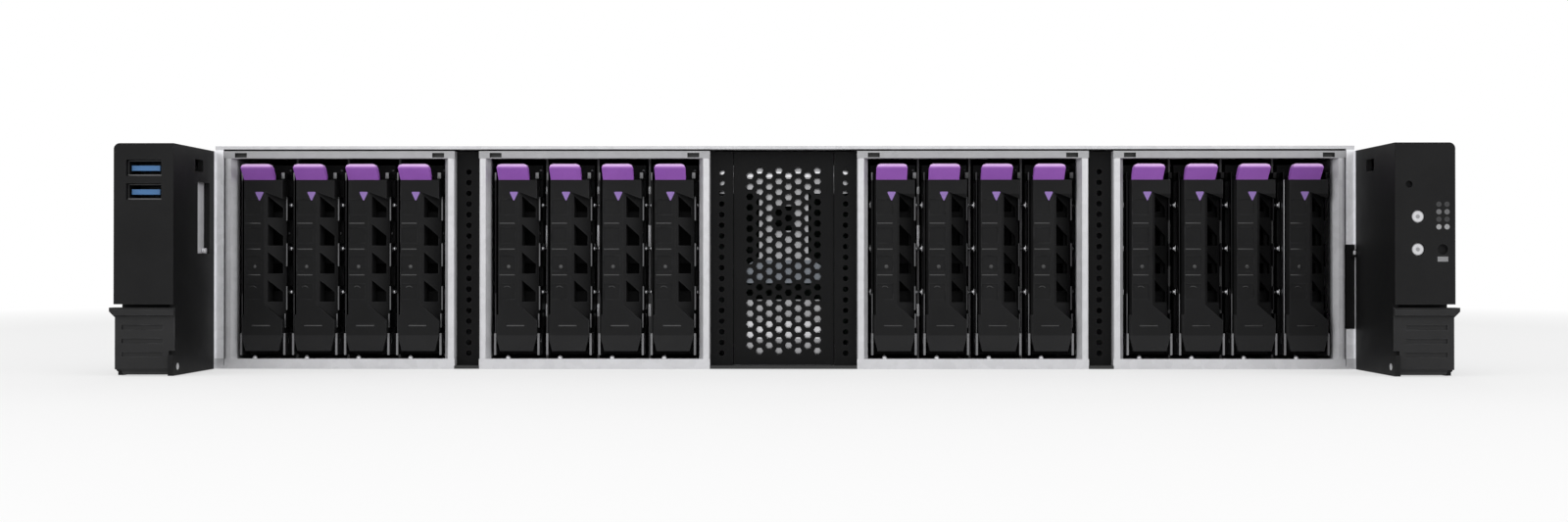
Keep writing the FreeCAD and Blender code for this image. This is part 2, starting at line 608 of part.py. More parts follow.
node("top_cover", lid_sheet, tub)
handle_plate = prism("latch_plate", "YZ", [
    (hinge_deep - 2.6, hinge_high - 1.2), (hinge_deep - 1.2, hinge_high - 2.6),
    (hinge_deep + s.handle_long, hinge_high - 1), (hinge_deep + s.handle_long + 3, hinge_high + 1),
    (hinge_deep + s.handle_long + 3, hinge_high + 3.2), (hinge_deep - 1.2, hinge_high + 2.6),
    (hinge_deep - 2.6, hinge_high + 1.2)], handle_mid - s.handle_wide / 2, s.handle_wide)
handle_pin = rod("latch_pin", "x", (tub_left - s.tub_sheet + s.play, hinge_deep, hinge_high),
                 s.hinge_radius, s.tub_wide + 2 * s.tub_sheet - 2 * s.play)
node("cover_latch", join("latch_handle", handle_plate, handle_pin))

# Rack ears: hollow housings in front of the steel brackets, open below for the latch lever,
# whose thin wing covers the inner wall's front edge.
ear_front = -s.ear_reach
ear_pin_deep = derive("ear_pin_deep", s.ear_pin_back - s.ear_reach)
latch_base = derive("latch_base", s.ear_pin_rise + s.knuckle + 0.4)
latch_room = derive("latch_room", s.latch_height + s.latch_gap)
recess_back = derive("recess_back", s.latch_depth + 2 - s.ear_reach)
usb_high = derive("usb_high", ear_high - s.usb_drop)
button_top = derive("button_top", ear_high - s.button_drop)
button_mid = derive("button_mid", half + s.button_in)
usb_mid = derive("usb_mid", half + s.ear_width / 2)
panel_wall = derive("panel_wall", s.ear_wall + 0.5)
skin_back = derive("skin_back", s.latch_set + s.latch_skin - s.ear_reach)
wing_low = derive("wing_low", latch_base + 2.2)
ears = {}
latches = {}
pins = []
for sign in (-1, 1):
    name = "left" if sign < 0 else "right"
    shell = prism(f"{name}_ear_block", "XZ", [
        (sign * half, 0), (sign * ear_out, 0), (sign * ear_out, ear_high), (sign * half, ear_high)],
        ear_front, s.ear_reach - s.bracket_sheet)
    soften(shell, s.ear_corner, lambda edge, at=sign * ear_out.value, up=ear_high.value: all(
        abs(v.X - at) < 1e-6 and abs(v.Z - up) < 1e-6 for v in edge.Vertexes))
    tools = [
        box(f"{name}_latch_room", side(sign, half + s.ear_wall, ear_out + 1), (ear_front - 1, recess_back),
            (latch_base - 0.4, latch_room)),
        box(f"{name}_tongue_room", side(sign, half + s.ear_wall, ear_out - s.ear_wall),
            (ear_front - 1, recess_back), (-1, latch_base - 0.4)),
        box(f"{name}_lamp_room", side(sign, half + s.ear_wall, ear_out - s.ear_wall),
            (ear_front + panel_wall, 0), (latch_room + s.ear_wall, ear_high - s.ear_wall)),
        box(f"{name}_hook_room", side(sign, half + s.ear_wall, ear_out - s.ear_notch - s.ear_wall),
            (recess_back + s.ear_wall, 0), (s.ear_wall, latch_room)),
        box(f"{name}_wing_room", side(sign, half - 1, half + s.ear_wall + s.play),
            (ear_front - 1, skin_back + 0.4), (wing_low - 1.5, latch_room)),
    ]
    tools.append(cut(f"{name}_knuckle_room",
                     box(f"{name}_knuckle_block", side(sign, ear_out - s.ear_wall, ear_out + 1),
                         (ear_front - 1, ear_pin_deep), (-1, latch_base - 0.4)),
                     rod(f"{name}_knuckle", "x", (side(sign, ear_out - 4, ear_out + 2)[0], ear_pin_deep,
                                                  s.ear_pin_rise), s.end_knuckle, 6)))
    holes = [rod(f"{name}_pin_bore", "x", (side(sign, half - 1, ear_out + 1)[0], ear_pin_deep,
                                           s.ear_pin_rise), s.ear_pin_radius, s.ear_width + 2),
             box(f"{name}_square_eye", side(sign, half - 1, half + s.ear_wall + 0.5),
                 (ear_front + 21, ear_front + 29), (ear_high - 8.8, ear_high - 4.3))]
    if sign < 0:
        holes.append(box("left_long_eye", side(sign, half - 1, half + s.ear_wall + 0.5),
                         (ear_front + 23.6, ear_front + 35.6), (ear_high - 39.6, ear_high - 12.6)))
        for i in range(2):
            z = usb_high - i * s.usb_pitch
            holes.append(box(f"usb_window_{i}", side(sign, usb_mid - s.usb_wide / 2 - 0.2,
                                                     usb_mid + s.usb_wide / 2 + 0.2),
                             (ear_front - 1, ear_front + panel_wall + 1),
                             (z - s.usb_tall / 2 - 0.2, z + s.usb_tall / 2 + 0.2)))
    else:
        for i in range(2):
            z = button_top - i * s.button_pitch
            holes.append(rod(f"button_hole_{i}", "y", (button_mid, ear_front - 1, z),
                             s.button_radius + s.bore_gap, panel_wall + 2))
        holes.append(rod("reset_bowl", "y", (button_mid + 8.8, ear_front - 1,
                                             button_top - s.button_pitch), 1.9, 2.4))
        holes.append(rod("sensor_hole", "y", (button_mid - 3.2, ear_front - 1, button_top + 11.6),
                         1.3, panel_wall))
    hollow = cut(f"{name}_ear_hollow", cut(f"{name}_ear_room", shell, join(
        f"{name}_ear_rooms", *tools)), *holes)
    ears[name] = [hollow]
    latch_in = half + s.ear_wall + s.play
    profile = prism(f"{name}_latch_plate", "YZ", [
        (ear_front + s.latch_set, s.ear_pin_rise - 0.6), (ear_front + s.latch_set, s.latch_height - 3.2),
        (ear_front, s.latch_height - 2.8), (ear_front, s.latch_height - 0.8),
        (ear_front + 0.8, s.latch_height), (ear_front + s.latch_depth, s.latch_height),
        (ear_front + s.latch_depth, latch_base), (ear_pin_deep + 2.8, latch_base),
        (ear_pin_deep + 2.8, s.ear_pin_rise - 1.2), (ear_pin_deep + 1.2, s.ear_pin_rise - 2.8),
        (ear_pin_deep - 1.2, s.ear_pin_rise - 2.8), (ear_pin_deep - 2.4, s.ear_pin_rise - 1.9)],
        side(sign, latch_in, ear_out)[0], ear_out - latch_in)
    slots = [box(f"{name}_latch_side", side(sign, ear_out - s.ear_wall - 0.3, ear_out + 1),
                 (skin_back, recess_back), (-1, latch_base)),
             box(f"{name}_latch_foot", side(sign, ear_out - s.ear_wall - 0.3, ear_out + 1),
                 (ear_front - 1, skin_back), (-1, s.ear_pin_rise - 1))]
    for i in range(3):
        z = s.latch_height - 8 - 4.9 * i
        slots.append(box(f"{name}_groove_{i}", side(sign, latch_in + 2.2, ear_out - 2.4),
                         (ear_front, ear_front + s.latch_set + 0.5), (z, z + 1.7)))
    slots.append(rod(f"{name}_latch_bore", "x", (side(sign, half - 1, ear_out + 1)[0], ear_pin_deep,
                                                 s.ear_pin_rise),
                     s.ear_pin_radius + s.bore_gap, s.ear_width + 2))
    lip = prism(f"{name}_latch_ledge", "XZ", [
        (sign * ear_out, s.latch_height - 3.4), (sign * (ear_out + s.latch_lip), s.latch_height - 1.4),
        (sign * (ear_out + s.latch_lip), s.latch_height), (sign * ear_out, s.latch_height)],
        ear_front + 0.8, s.latch_depth - 0.8)
    wing = prism(f"{name}_latch_wing", "YZ", [
        (ear_front + s.latch_set, wing_low), (ear_front + s.latch_set, s.latch_height - 3.2),
        (ear_front, s.latch_height - 2.8), (ear_front, s.latch_height - 0.8),
        (ear_front + 0.8, s.latch_height), (skin_back, s.latch_height), (skin_back, wing_low)],
        side(sign, half, latch_in + 1)[0], s.ear_wall + s.play + 1)
    latches[name] = join(f"{name}_latch_lever", cut(f"{name}_latch_cut", profile, *slots), lip, wing)
    pins.append(rod(f"{name}_latch_pin", "x", (side(sign, half, ear_out)[0], ear_pin_deep,
                                               s.ear_pin_rise), s.ear_pin_radius, s.ear_width))

# Black cover set into the notch of the right front flange, with a small hook.
flange_cover = join("flange_cover",
                    box("cover_plate", (flange_in, half), (0, 3), (cover_low + 0.3, cover_high - 0.3)),
                    box("cover_hook", (half - 1.6, half), (-2.4, 0), (cover_high - 5, cover_high - 2)))
node("left_ear", *ears["left"])
node("right_ear", *ears["right"], flange_cover)
node("left_ear_latch", latches["left"])
node("right_ear_latch", latches["right"])

# Round push buttons with a collar behind the panel.
for i, label in enumerate(("power_button", "id_button")):
    z = button_top - i * s.button_pitch
    stem = rod(f"{label}_stem", "y", (button_mid, ear_front + 0.3, z), s.button_radius, s.button_length)
    collar = box(f"{label}_collar", (button_mid - 3.2, button_mid + 3.2),
                 (ear_front + panel_wall, ear_front + panel_wall + 1.2), (z - 3.2, z + 3.2))
    node(label, join(f"{label}_body", stem, collar))

# USB sockets with their tongues, and the small boards behind the ear panels.
io_pieces = []
for i in range(2):
    z = usb_high - i * s.usb_pitch
    x = -usb_mid
    shell = box(f"usb_shell_{i}", (x - s.usb_wide / 2, x + s.usb_wide / 2),
                (ear_front + 1.5, ear_front + s.usb_deep), (z - s.usb_tall / 2, z + s.usb_tall / 2))
    mouth = box(f"usb_mouth_{i}", (x - s.usb_wide / 2 + s.usb_wall, x + s.usb_wide / 2 - s.usb_wall),
                (ear_front, ear_front + s.usb_deep - 2),
                (z - s.usb_tall / 2 + s.usb_wall, z + s.usb_tall / 2 - s.usb_wall))
    io_pieces.append(cut(f"usb_socket_{i}", shell, mouth))
    io_pieces.append(box(f"usb_tongue_{i}", (x - s.usb_wide / 2 + 1.1, x + s.usb_wide / 2 - 1.1),
                         (ear_front + 2.2, ear_front + s.usb_deep - 2), (z - 1.0, z + 0.9)))
io_pieces.append(box("usb_board", (-ear_out + s.ear_wall, -half - s.ear_wall),
                     (ear_front + s.usb_deep, ear_front + s.usb_deep + s.board_sheet),
                     (usb_high - s.usb_pitch - 9, usb_high + 4)))
io_pieces.append(box("button_board", (half + s.ear_wall, ear_out - s.ear_wall),
                     (ear_front + 10, ear_front + 10 + s.board_sheet),
                     (button_top - s.button_pitch - 7, button_top + 8)))
node("front_io", *io_pieces)

# Backplane with one socket per drive and air windows between them.
plane_low = lip_top
plane_windows = []
plugs = []
for number, spot in enumerate(bay_spots):
    plugs.append(box(f"plug_{number}", (spot - 3.4, spot + 3.4), (plug_front, plane_front),
                     (carrier_low + 10, carrier_low + 10 + s.plug_height)))
    plane_windows.append(box(f"plane_window_{number}", (spot - 5.5, spot + 5.5),
                             (plane_front - 1, plane_back + 1),
                             (carrier_high - 26, carrier_high - 6)))
plane_sheet = cut("plane_sheet", box("plane_plate", (-wall_in + 2, wall_in - 2),
                                     (plane_front, plane_back), (plane_low, cage_top - 1)),
                  *plane_windows)
node("backplane", plane_sheet, *plugs)

# Fan wall: four square frames with a bore, a hub seat on four struts, and a punched front sheet.
fan_step = derive("fan_step", wall_in / 2)
fan_size = derive("fan_size", side_top - s.wall_sheet - 2 * s.fan_low - 1.2)
fan_mid = derive("fan_mid", s.wall_sheet + s.fan_low + fan_size / 2)
bore_radius = derive("bore_radius", fan_size / 2 - s.fan_rim)
fan_body = cut("fan_body", box("fan_block", (-fan_size / 2, fan_size / 2), (fan_front, fan_back),
                               (fan_mid - fan_size / 2, fan_mid + fan_size / 2)),
               rod("fan_bore", "y", (0, fan_front - 1, fan_mid), bore_radius, s.fan_depth + 2))
hub_seat = rod("hub_seat", "y", (0, fan_back - 5, fan_mid), s.hub_radius, 4)
strut_across = box("strut_across", (-bore_radius - 0.6, bore_radius + 0.6), (fan_back - 5, fan_back - 1),
                   (fan_mid - 1.5, fan_mid + 1.5))
strut_up = box("strut_up", (-1.5, 1.5), (fan_back - 5, fan_back - 1),
               (fan_mid - bore_radius - 0.6, fan_mid + bore_radius + 0.6))
fan_frame = join("fan_frame", fan_body, hub_seat, strut_across, strut_up)
fan_spots = [(i - 1.5) * fan_step for i in range(4)]
wall_bores = [rod(f"fan_wall_bore_{i}", "y", (spot, fan_front - 3, fan_mid), bore_radius, 6)
              for i, spot in enumerate(fan_spots)]
fan_wall = cut("fan_wall", box("fan_wall_plate", (-wall_in + 0.5, wall_in - 0.5),
                               (fan_front - s.wall_sheet, fan_front), (s.wall_sheet, side_top - 1)),
               *wall_bores)
node("fan_frames", fan_wall, *[copy(f"fan_{i}", fan_frame, x=spot)
                               for i, spot in enumerate(fan_spots)])

# Fan rotor: hub with seven slanted blades in a polar pattern.
rotor = doc.addObject("PartDesign::Body", "rotor")


def disc(body, name, radius):
    sketch = body.newObject("Sketcher::SketchObject", name)
    sketch.AttachmentSupport = [(origin_part(body, "XZ_Plane"), "")]
    sketch.MapMode = "FlatFace"
    sketch.addGeometry(Part.Circle(Vector(0, 0, 0), Vector(0, 0, 1), radius.value), False)
    sketch.addConstraint(Sketcher.Constraint("Coincident", 0, 3, -1, 1))
    spot = sketch.addConstraint(Sketcher.Constraint("Radius", 0, radius.value))
    sketch.setExpression(f"Constraints[{spot}]", radius.text)
    return sketch


rotor_length = derive("rotor_length", s.fan_depth - 10)
pad(rotor, "hub_pad", disc(rotor, "hub_outline", s.hub_radius - 0.5), rotor_length, True)
pad(rotor, "thrust_pad", disc(rotor, "thrust_outline", s.hub_radius / 4), s.fan_depth - 8, True)
tip_radius = derive("tip_radius", bore_radius - s.tip_gap)
blade_sketch = outline(rotor, "blade_outline", "YZ", [
    (1.5, -9 - s.blade_thick), (1.5, -9), (rotor_length - 1.5, 9), (rotor_length - 1.5, 9 - s.blade_thick)])
bind(blade_sketch, "AttachmentOffset.Base.z", s.hub_radius - 5)
blade = pad(rotor, "blade_pad", blade_sketch, tip_radius - s.hub_radius + 5)
blades = rotor.newObject("PartDesign::PolarPattern", "blade_ring")
blades.Originals = [blade]
blades.Axis = (origin_part(rotor, "Y_Axis"), [""])
blades.Angle = 360
blades.Occurrences = 7
rotor.Tip = blades
place(rotor, 0, fan_front + 3, fan_mid)
for i, spot in enumerate(fan_spots, 1):
    node(f"fan_rotor_{i}", rotor, x=spot)

# System board with processor sockets, memory sockets, slots and small parts.
board_left = derive("board_left", -wall_in + 4)
board_right = derive("board_right", bay_wall - 4)
board = box("board_plate", (board_left, board_right), (board_front, board_back), (board_low, board_top))
board_mid = derive("board_mid", (board_left + board_right) / 2)
bank = derive("bank", 6 * s.module_pitch)
cpu_spots = [board_mid - s.sink_width / 2 - bank - 2, board_mid + s.sink_width / 2 + bank + 2]
module_deep = derive("module_deep", board_front + 70)
sink_deep = derive("sink_deep", module_deep + (s.module_length - s.sink_length) / 2)
module_spots = []
for spot in cpu_spots:
    for i in range(6):
        module_spots.append(spot - s.sink_width / 2 - (i + 0.6) * s.module_pitch)
        module_spots.append(spot + s.sink_width / 2 + (i + 0.6) * s.module_pitch)
memory_sockets = []
memory_slits = []
for number, spot in enumerate(module_spots):
    memory_sockets.append(box(f"memory_socket_{number}", (spot - 2.8, spot + 2.8),
                              (module_deep - 4, module_deep + s.module_length + 4),
                              (board_top, board_top + s.socket_height)))
    memory_slits.append(box(f"memory_slit_{number}", (spot - s.module_sheet / 2 - 0.1,
                                                      spot + s.module_sheet / 2 + 0.1),
                            (module_deep - 0.2, module_deep + s.module_length + 0.2),
                            (board_top + 1.5, board_top + s.socket_height + 1)))
socket_rows = cut("socket_rows", group("socket_blocks", *memory_sockets), *memory_slits)
board_parts = [board, socket_rows]
for number, spot in enumerate(cpu_spots):
    board_parts.append(box(f"cpu_frame_{number}", (spot - 29, spot + 29),
                           (sink_deep + 12, sink_deep + s.sink_length - 12),
                           (board_top, board_top + s.socket_height)))
for i in range(3):
    left = board_left + 24 + i * 100
    board_parts.append(box(f"card_slot_{i}", (left, left + 7.6), (board_back - 150, board_back - 60),
                           (board_top, board_top + 11)))
board_parts.append(box("hub_chip", (board_left + 60, board_left + 94),
                       (board_back - 190, board_back - 156), (board_top, board_top + 9)))
board_parts.append(box("manage_chip", (board_left + 150, board_left + 168),
                       (board_back - 60, board_back - 42), (board_top, board_top + 2)))
for i in range(2):
    board_parts.append(box(f"power_plug_{i}", (board_right - 22, board_right - 4),
                           (board_back - 120 + i * 60, board_back - 76 + i * 60),
                           (board_top, board_top + 12)))
for i in range(8):
    board_parts.append(rod(f"capacitor_{i}", "z", (board_left + 20 + i * 38, board_front + 34, board_top),
                           4.5, 11))
board_parts.append(rod("coin_cell", "z", (board_left + 220, board_back - 100, board_top), 10, 4))
node("system_board", *board_parts)

# Heatsinks: a base plate with a row of upright fins.
sink = doc.addObject("PartDesign::Body", "sink")
base_sketch = outline(sink, "sink_outline", "XY", [
    (-s.sink_width / 2, 0), (s.sink_width / 2, 0), (s.sink_width / 2, s.sink_length),
    (-s.sink_width / 2, s.sink_length)])
pad(sink, "sink_base_pad", base_sketch, s.sink_base)
fin_sketch = outline(sink, "fin_outline", "XY", [
    (-s.sink_width / 2, 0), (-s.sink_width / 2 + s.fin_sheet, 0),
    (-s.sink_width / 2 + s.fin_sheet, s.sink_length), (-s.sink_width / 2, s.sink_length)])
fin = pad(sink, "fin_pad", fin_sketch, s.sink_height)
fins = sink.newObject("PartDesign::LinearPattern", "fin_row")
fins.Originals = [fin]
fins.Direction = (origin_part(sink, "X_Axis"), [""])
bind(fins, "Length", s.sink_width - s.fin_sheet)
fins.Occurrences = int(s.fin_count.value)
sink.Tip = fins
place(sink, 0, sink_deep, board_top + s.socket_height)
node("heatsinks", *[copy(f"heatsink_{i}", sink, x=spot) for i, spot in enumerate(cpu_spots)])

# Memory modules with a heat spreader on each.
module = join("module", box("module_sheet", (-s.module_sheet / 2, s.module_sheet / 2),
                            (module_deep, module_deep + s.module_length),
                            (board_top + 1.6, board_top + 1.6 + s.module_height)),
              box("module_spreader", (-s.module_sheet / 2 - 1, s.module_sheet / 2 + 1),
                  (module_deep + 4, module_deep + s.module_length - 4),
                  (board_top + s.socket_height + 1.5, board_top + 1.6 + s.module_height - 1)))
node("memory_modules", *[copy(f"module_{i}", module, x=spot) for i, spot in enumerate(module_spots)])

# Power supplies: case with a mains inlet, fan bowl and pull handle, and a side latch each.
psu_back = derive("psu_back", depth + s.psu_proud)
psu_front = derive("psu_front", psu_back - s.psu_length)
inlet_left = derive("inlet_left", psu_left + 9)
handle_left = derive("handle_left", inlet_left + s.inlet_wide + 1.6)
fan_mid_x = derive("fan_mid_x", psu_right - s.psu_fan_radius - 2)
for label, low in (("psu_lower", psu_low), ("psu_upper", psu_up)):
    mid = low + psu_height / 2
    case = box(f"{label}_case", (psu_left, psu_right), (psu_front, psu_back), (low, low + psu_height))
    inlet = box(f"{label}_inlet", (inlet_left, inlet_left + s.inlet_wide),
                (psu_back - s.inlet_deep, psu_back + 1), (mid - s.inlet_tall / 2, mid + s.inlet_tall / 2))
    bowl = rod(f"{label}_bowl", "y", (fan_mid_x, psu_back - 4, mid), s.psu_fan_radius, 6)
    blades_in = [box(f"{label}_blade_{i}", (inlet_left + s.inlet_wide / 2 - 1 + x,
                                            inlet_left + s.inlet_wide / 2 + 1 + x),
                     (psu_back - s.inlet_deep - 1, psu_back - 6), (mid - 2 + z, mid + 2 + z))
                 for i, (x, z) in enumerate(((-7, -1.5), (7, -1.5), (0, 2.5)))]
    handle = [box(f"{label}_bar", (handle_left, handle_left + s.handle_thick),
                  (depth + s.rear_reach - s.handle_bar, depth + s.rear_reach),
                  (low + 4, low + psu_height - 4))]
    for i, z in enumerate((low + 4, low + psu_height - 4 - s.handle_bar)):
        handle.append(box(f"{label}_post_{i}", (handle_left, handle_left + s.handle_thick),
                          (psu_back - 1, depth + s.rear_reach - s.handle_bar), (z, z + s.handle_bar)))
    node(label, join(f"{label}_body", cut(f"{label}_hollow", case, inlet, bowl), *blades_in, *handle))
    tongue = prism(f"{label}_tongue", "XY", [
        (psu_left + 1.2, psu_back), (psu_left + 5, psu_back), (psu_left + 5, psu_back + 9),
        (psu_left + 3.4, psu_back + 15), (psu_left + 1.8, psu_back + 15), (psu_left + 1.2, psu_back + 9)],
        mid - 9, 18)
    node(f"{label}_latch", tongue)

# Pins of the ear latches, board posts with screw heads, and the screws of the ear brackets.
fixings = list(pins)
post_spots = [(board_left + 8, board_front + 10), (board_right - 8, board_front + 10),
              (board_left + 8, board_back - 170), (board_right - 8, board_back - 170),
              (board_mid, board_front + 10), (board_mid, board_back - 30)]
for number, (x, y) in enumerate(post_spots):
    fixings.append(rod(f"post_{number}", "z", (x, y, s.wall_sheet), 3, s.board_rise))
    fixings.append(rod(f"post_screw_{number}", "z", (x, y, board_top), 3, 2))
for sign in (-1, 1):
    for i in range(3):
        start = half + s.wall_sheet if sign > 0 else -half - s.wall_sheet - 1.2
        fixings.append(rod(f"bracket_screw_{sign + 1}_{i}", "x",
                           (start, s.leg_length * 0.55, 16 + i * (ear_high - 32) / 2), 3.2, 1.2))
node("pins_and_screws", *fixings)

doc.recompute()
faults = [item.Name for item in doc.Objects if "Invalid" in item.State or "Error" in item.State]
if faults:
    raise RuntimeError("objects in error: " + ", ".join(faults))
for item in nodes:
    solids = item.Shape.Solids
    if item.Shape.isNull() or not item.Shape.isValid() or not solids:
        raise RuntimeError("bad shape in " + item.Label)
    shape = solids[0] if len(solids) == 1 else Part.makeCompound(solids)
    shape.exportStep(f"parts/{item.Label}.step")
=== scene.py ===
import math
import bpy
import numpy as np
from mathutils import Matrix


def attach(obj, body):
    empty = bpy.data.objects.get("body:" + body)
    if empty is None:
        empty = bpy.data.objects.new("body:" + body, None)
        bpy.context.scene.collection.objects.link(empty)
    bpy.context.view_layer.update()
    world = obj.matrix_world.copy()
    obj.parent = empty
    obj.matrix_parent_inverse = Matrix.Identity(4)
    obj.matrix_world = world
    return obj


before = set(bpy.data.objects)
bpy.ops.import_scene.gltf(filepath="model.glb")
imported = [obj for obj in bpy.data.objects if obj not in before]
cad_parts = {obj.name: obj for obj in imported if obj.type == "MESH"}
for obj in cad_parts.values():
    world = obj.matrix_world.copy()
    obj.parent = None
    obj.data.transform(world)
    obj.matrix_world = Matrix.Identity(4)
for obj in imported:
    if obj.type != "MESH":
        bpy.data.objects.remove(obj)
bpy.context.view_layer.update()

mm = 0.001
frontY = -346.075  # front plane of the chassis, depths count back from it
bayPitch = 20.2
cageMid = np.array([-171.6, -73.0, 73.0, 171.6])
bayX = (cageMid[:, None] + (np.arange(4) - 1.5) * bayPitch).ravel()
print("frame loaded,", len(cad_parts), "nodes")


# shapes: a closed section carried through stations, as whole arrays
# each way a piece can face: across, up and outward
axesOf = {
    "front": ((1, 0, 0), (0, 0, 1), (0, -1, 0)),
    "rear": ((-1, 0, 0), (0, 0, 1), (0, 1, 0)),
    "top": ((1, 0, 0), (0, 1, 0), (0, 0, 1)),
    "left": ((0, -1, 0), (0, 0, 1), (-1, 0, 0)),
    "right": ((0, 1, 0), (0, 0, 1), (1, 0, 0)),
}
rimShare = 0.3  # place of the middle rim ring, as a share of the rim
leastCorner = 0.02
domeReach = 0.46 * np.pi  # a dome's rings stop short of its pole
sharpAngle = 0.7  # edges that turn by more than this stay sharp


# quads join each ring to the next one, the first and last ring get a cap
def ringFaces(rows, cols, copies):
    row, col = np.meshgrid(np.arange(rows - 1), np.arange(cols), indexing="ij")
    a = row * cols + col
    b = row * cols + (col + 1) % cols
    quads = np.stack([a, b, b + cols, a + cols], axis=-1).reshape(-1, 4)
    caps = np.stack([np.arange(cols)[::-1], np.arange(cols) + (rows - 1) * cols])
    shift = np.arange(copies).reshape(-1, 1, 1) * rows * cols
    return (quads + shift).reshape(-1, 4), (caps + shift).reshape(-1, cols)


# point = spot + across * u + up * v + station * outward, for every ring and every spot
def loft(sections, stations, spots, facing):
    u, v, w = np.array(axesOf[facing], float)
    rings = sections[..., :1] * u + sections[..., 1:] * v
    rings = rings + np.asarray(stations, float)[:, None, None] * w
    points = rings[None] + np.asarray(spots, float).reshape(-1, 1, 1, 3)
    quads, caps = ringFaces(rings.shape[0], rings.shape[1], points.shape[0])
    return points.reshape(-1, 3), quads, caps


# corner centre plus a quarter turn of the corner radius, four times round
def roundRect(wide, tall, corner, steps=3):
    angle = (np.arange(4)[:, None] * 0.5 * np.pi + np.linspace(0, 0.5 * np.pi, steps)).ravel()
    signX = np.repeat([1, -1, -1, 1], steps)
    signZ = np.repeat([1, 1, -1, -1], steps)
    return np.stack([signX * (wide / 2 - corner) + corner * np.cos(angle),
                     signZ * (tall / 2 - corner) + corner * np.sin(angle)], axis=-1)


def circle(radius, steps=16):  # radius times cosine and sine of equal steps
    angle = np.arange(steps) * 2 * np.pi / steps
    return radius * np.stack([np.cos(angle), np.sin(angle)], axis=-1)


# each corner becomes a short curve: (1-s)^2 start + 2s(1-s) corner + s^2 end
def softCorners(points, share, steps=4):
    p = np.asarray(points, float)
    start = p + (np.roll(p, 1, axis=0) - p) * share
    end = p + (np.roll(p, -1, axis=0) - p) * share
    s = np.linspace(0, 1, steps)[None, :, None]
    curve = (1 - s) ** 2 * start[:, None] + 2 * s * (1 - s) * p[:, None] + s ** 2 * end[:, None]
    return curve.reshape(-1, 2)


# slab whose rim rounds over: straight wall, then two rings drawn in by the rim
def slab(wide, tall, corner, rise, rim, spots, facing):
    inset = [0, 0, rimShare * rim, rim]
    rings = np.stack([roundRect(wide - 2 * i, tall - 2 * i, max(corner - i, leastCorner)) for i in inset])
    return loft(rings, [0, rise - rim, rise - rimShare * rim, rise], spots, facing)


# round head: rings shrink as the cosine while they rise as the sine
def dome(radius, rise, spots, facing, steps=16):
    lift = np.linspace(0, domeReach, 5)
    rings = circle(1.0, steps)[None] * (radius * np.cos(lift))[:, None, None]
    return loft(rings, rise * np.sin(lift), spots, facing)


# disc with a softened rim: straight wall, then two rings drawn in by the rim
def puck(radius, rise, rim, spots, facing, steps=20):
    radii = np.array([radius, radius, radius - rimShare * rim, radius - rim])
    rings = circle(1.0, steps)[None] * radii[:, None, None]
    return loft(rings, [0, rise - rim, rise - rimShare * rim, rise], spots, facing)


# ring of round wire: circle of the wire radius carried round a circle of the ring radius
def wireRing(radius, wireRadius, spot, facing, turns=40, steps=8):
    u, v, w = np.array(axesOf[facing], float)
    a = np.arange(turns) * 2 * np.pi / turns
    b = np.arange(steps) * 2 * np.pi / steps
    arm = np.cos(a)[:, None] * u + np.sin(a)[:, None] * v
    points = (arm[:, None] * (radius + wireRadius * np.cos(b))[None, :, None]
              + (wireRadius * np.sin(b))[None, :, None] * w + np.asarray(spot, float))
    i, j = np.meshgrid(np.arange(turns), np.arange(steps), indexing="ij")
    n = lambda r, c: (r % turns) * steps + c % steps
    quads = np.stack([n(i, j), n(i + 1, j), n(i + 1, j + 1), n(i, j + 1)], axis=-1).reshape(-1, 4)
    return points.reshape(-1, 3), quads, np.zeros((0, 4), int)


# straight or bent wire: at each path point a circle stands square to the path
def wire(path, radius, steps=8, side=(0, 1, 0)):
    p = np.asarray(path, float)
    along = np.gradient(p, axis=0)
    along /= np.linalg.norm(along, axis=1, keepdims=True)
    across = np.cross(np.asarray(side, float), along)
    across /= np.linalg.norm(across, axis=1, keepdims=True)
    third = np.cross(along, across)
    b = np.arange(steps) * 2 * np.pi / steps
    ring = np.cos(b)[None, :, None] * across[:, None] + np.sin(b)[None, :, None] * third[:, None]
    points = p[:, None] + radius * ring
    quads, caps = ringFaces(len(p), steps, 1)
    return points.reshape(-1, 3), quads, caps


# joins the parts of one piece into a mesh and lets it ride on its body
def piece(name, parts, finish, body):
    shift = np.cumsum([0] + [len(part[0]) for part in parts])
    points = np.concatenate([part[0] for part in parts]) * mm
    faces = []
    for (_, quads, caps), start in zip(parts, shift):
        faces += (quads + start).tolist() + (caps + start).tolist()
    mesh = bpy.data.meshes.new(name)
    mesh.from_pydata(points.tolist(), [], faces)
    mesh.shade_smooth()
    mesh.set_sharp_from_angle(angle=sharpAngle)
    mesh.materials.append(finish)
    obj = bpy.data.objects.new(name, mesh)
    bpy.context.scene.collection.objects.link(obj)
    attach(obj, body)


# shader groups shared by the finishes
def newGroup(name, inputs, outputs):
    tree = bpy.data.node_groups.new(name, "ShaderNodeTree")
    for label, kind, value in inputs:
        socket = tree.interface.new_socket(name=label, in_out="INPUT", socket_type="NodeSocket" + kind)
        socket.default_value = value
    for label, kind in outputs:
        tree.interface.new_socket(name=label, in_out="OUTPUT", socket_type="NodeSocket" + kind)
    return tree, tree.nodes.new("NodeGroupInput").outputs, tree.nodes.new("NodeGroupOutput").inputs


def setInput(tree, socket, value):
    if isinstance(value, bpy.types.NodeSocket):
        tree.links.new(value, socket)
    else:
        socket.default_value = value


def calc(tree, operation, *values):
    node = tree.nodes.new("ShaderNodeMath")
    node.operation = operation
    for i, value in enumerate(values):
        setInput(tree, node.inputs[i], value)
    return node.outputs[0]


def vectorCalc(tree, operation, *values):
    node = tree.nodes.new("ShaderNodeVectorMath")
    node.operation = operation
    for i, value in enumerate(values):
        setInput(tree, node.inputs[i], value)
    return node.outputs


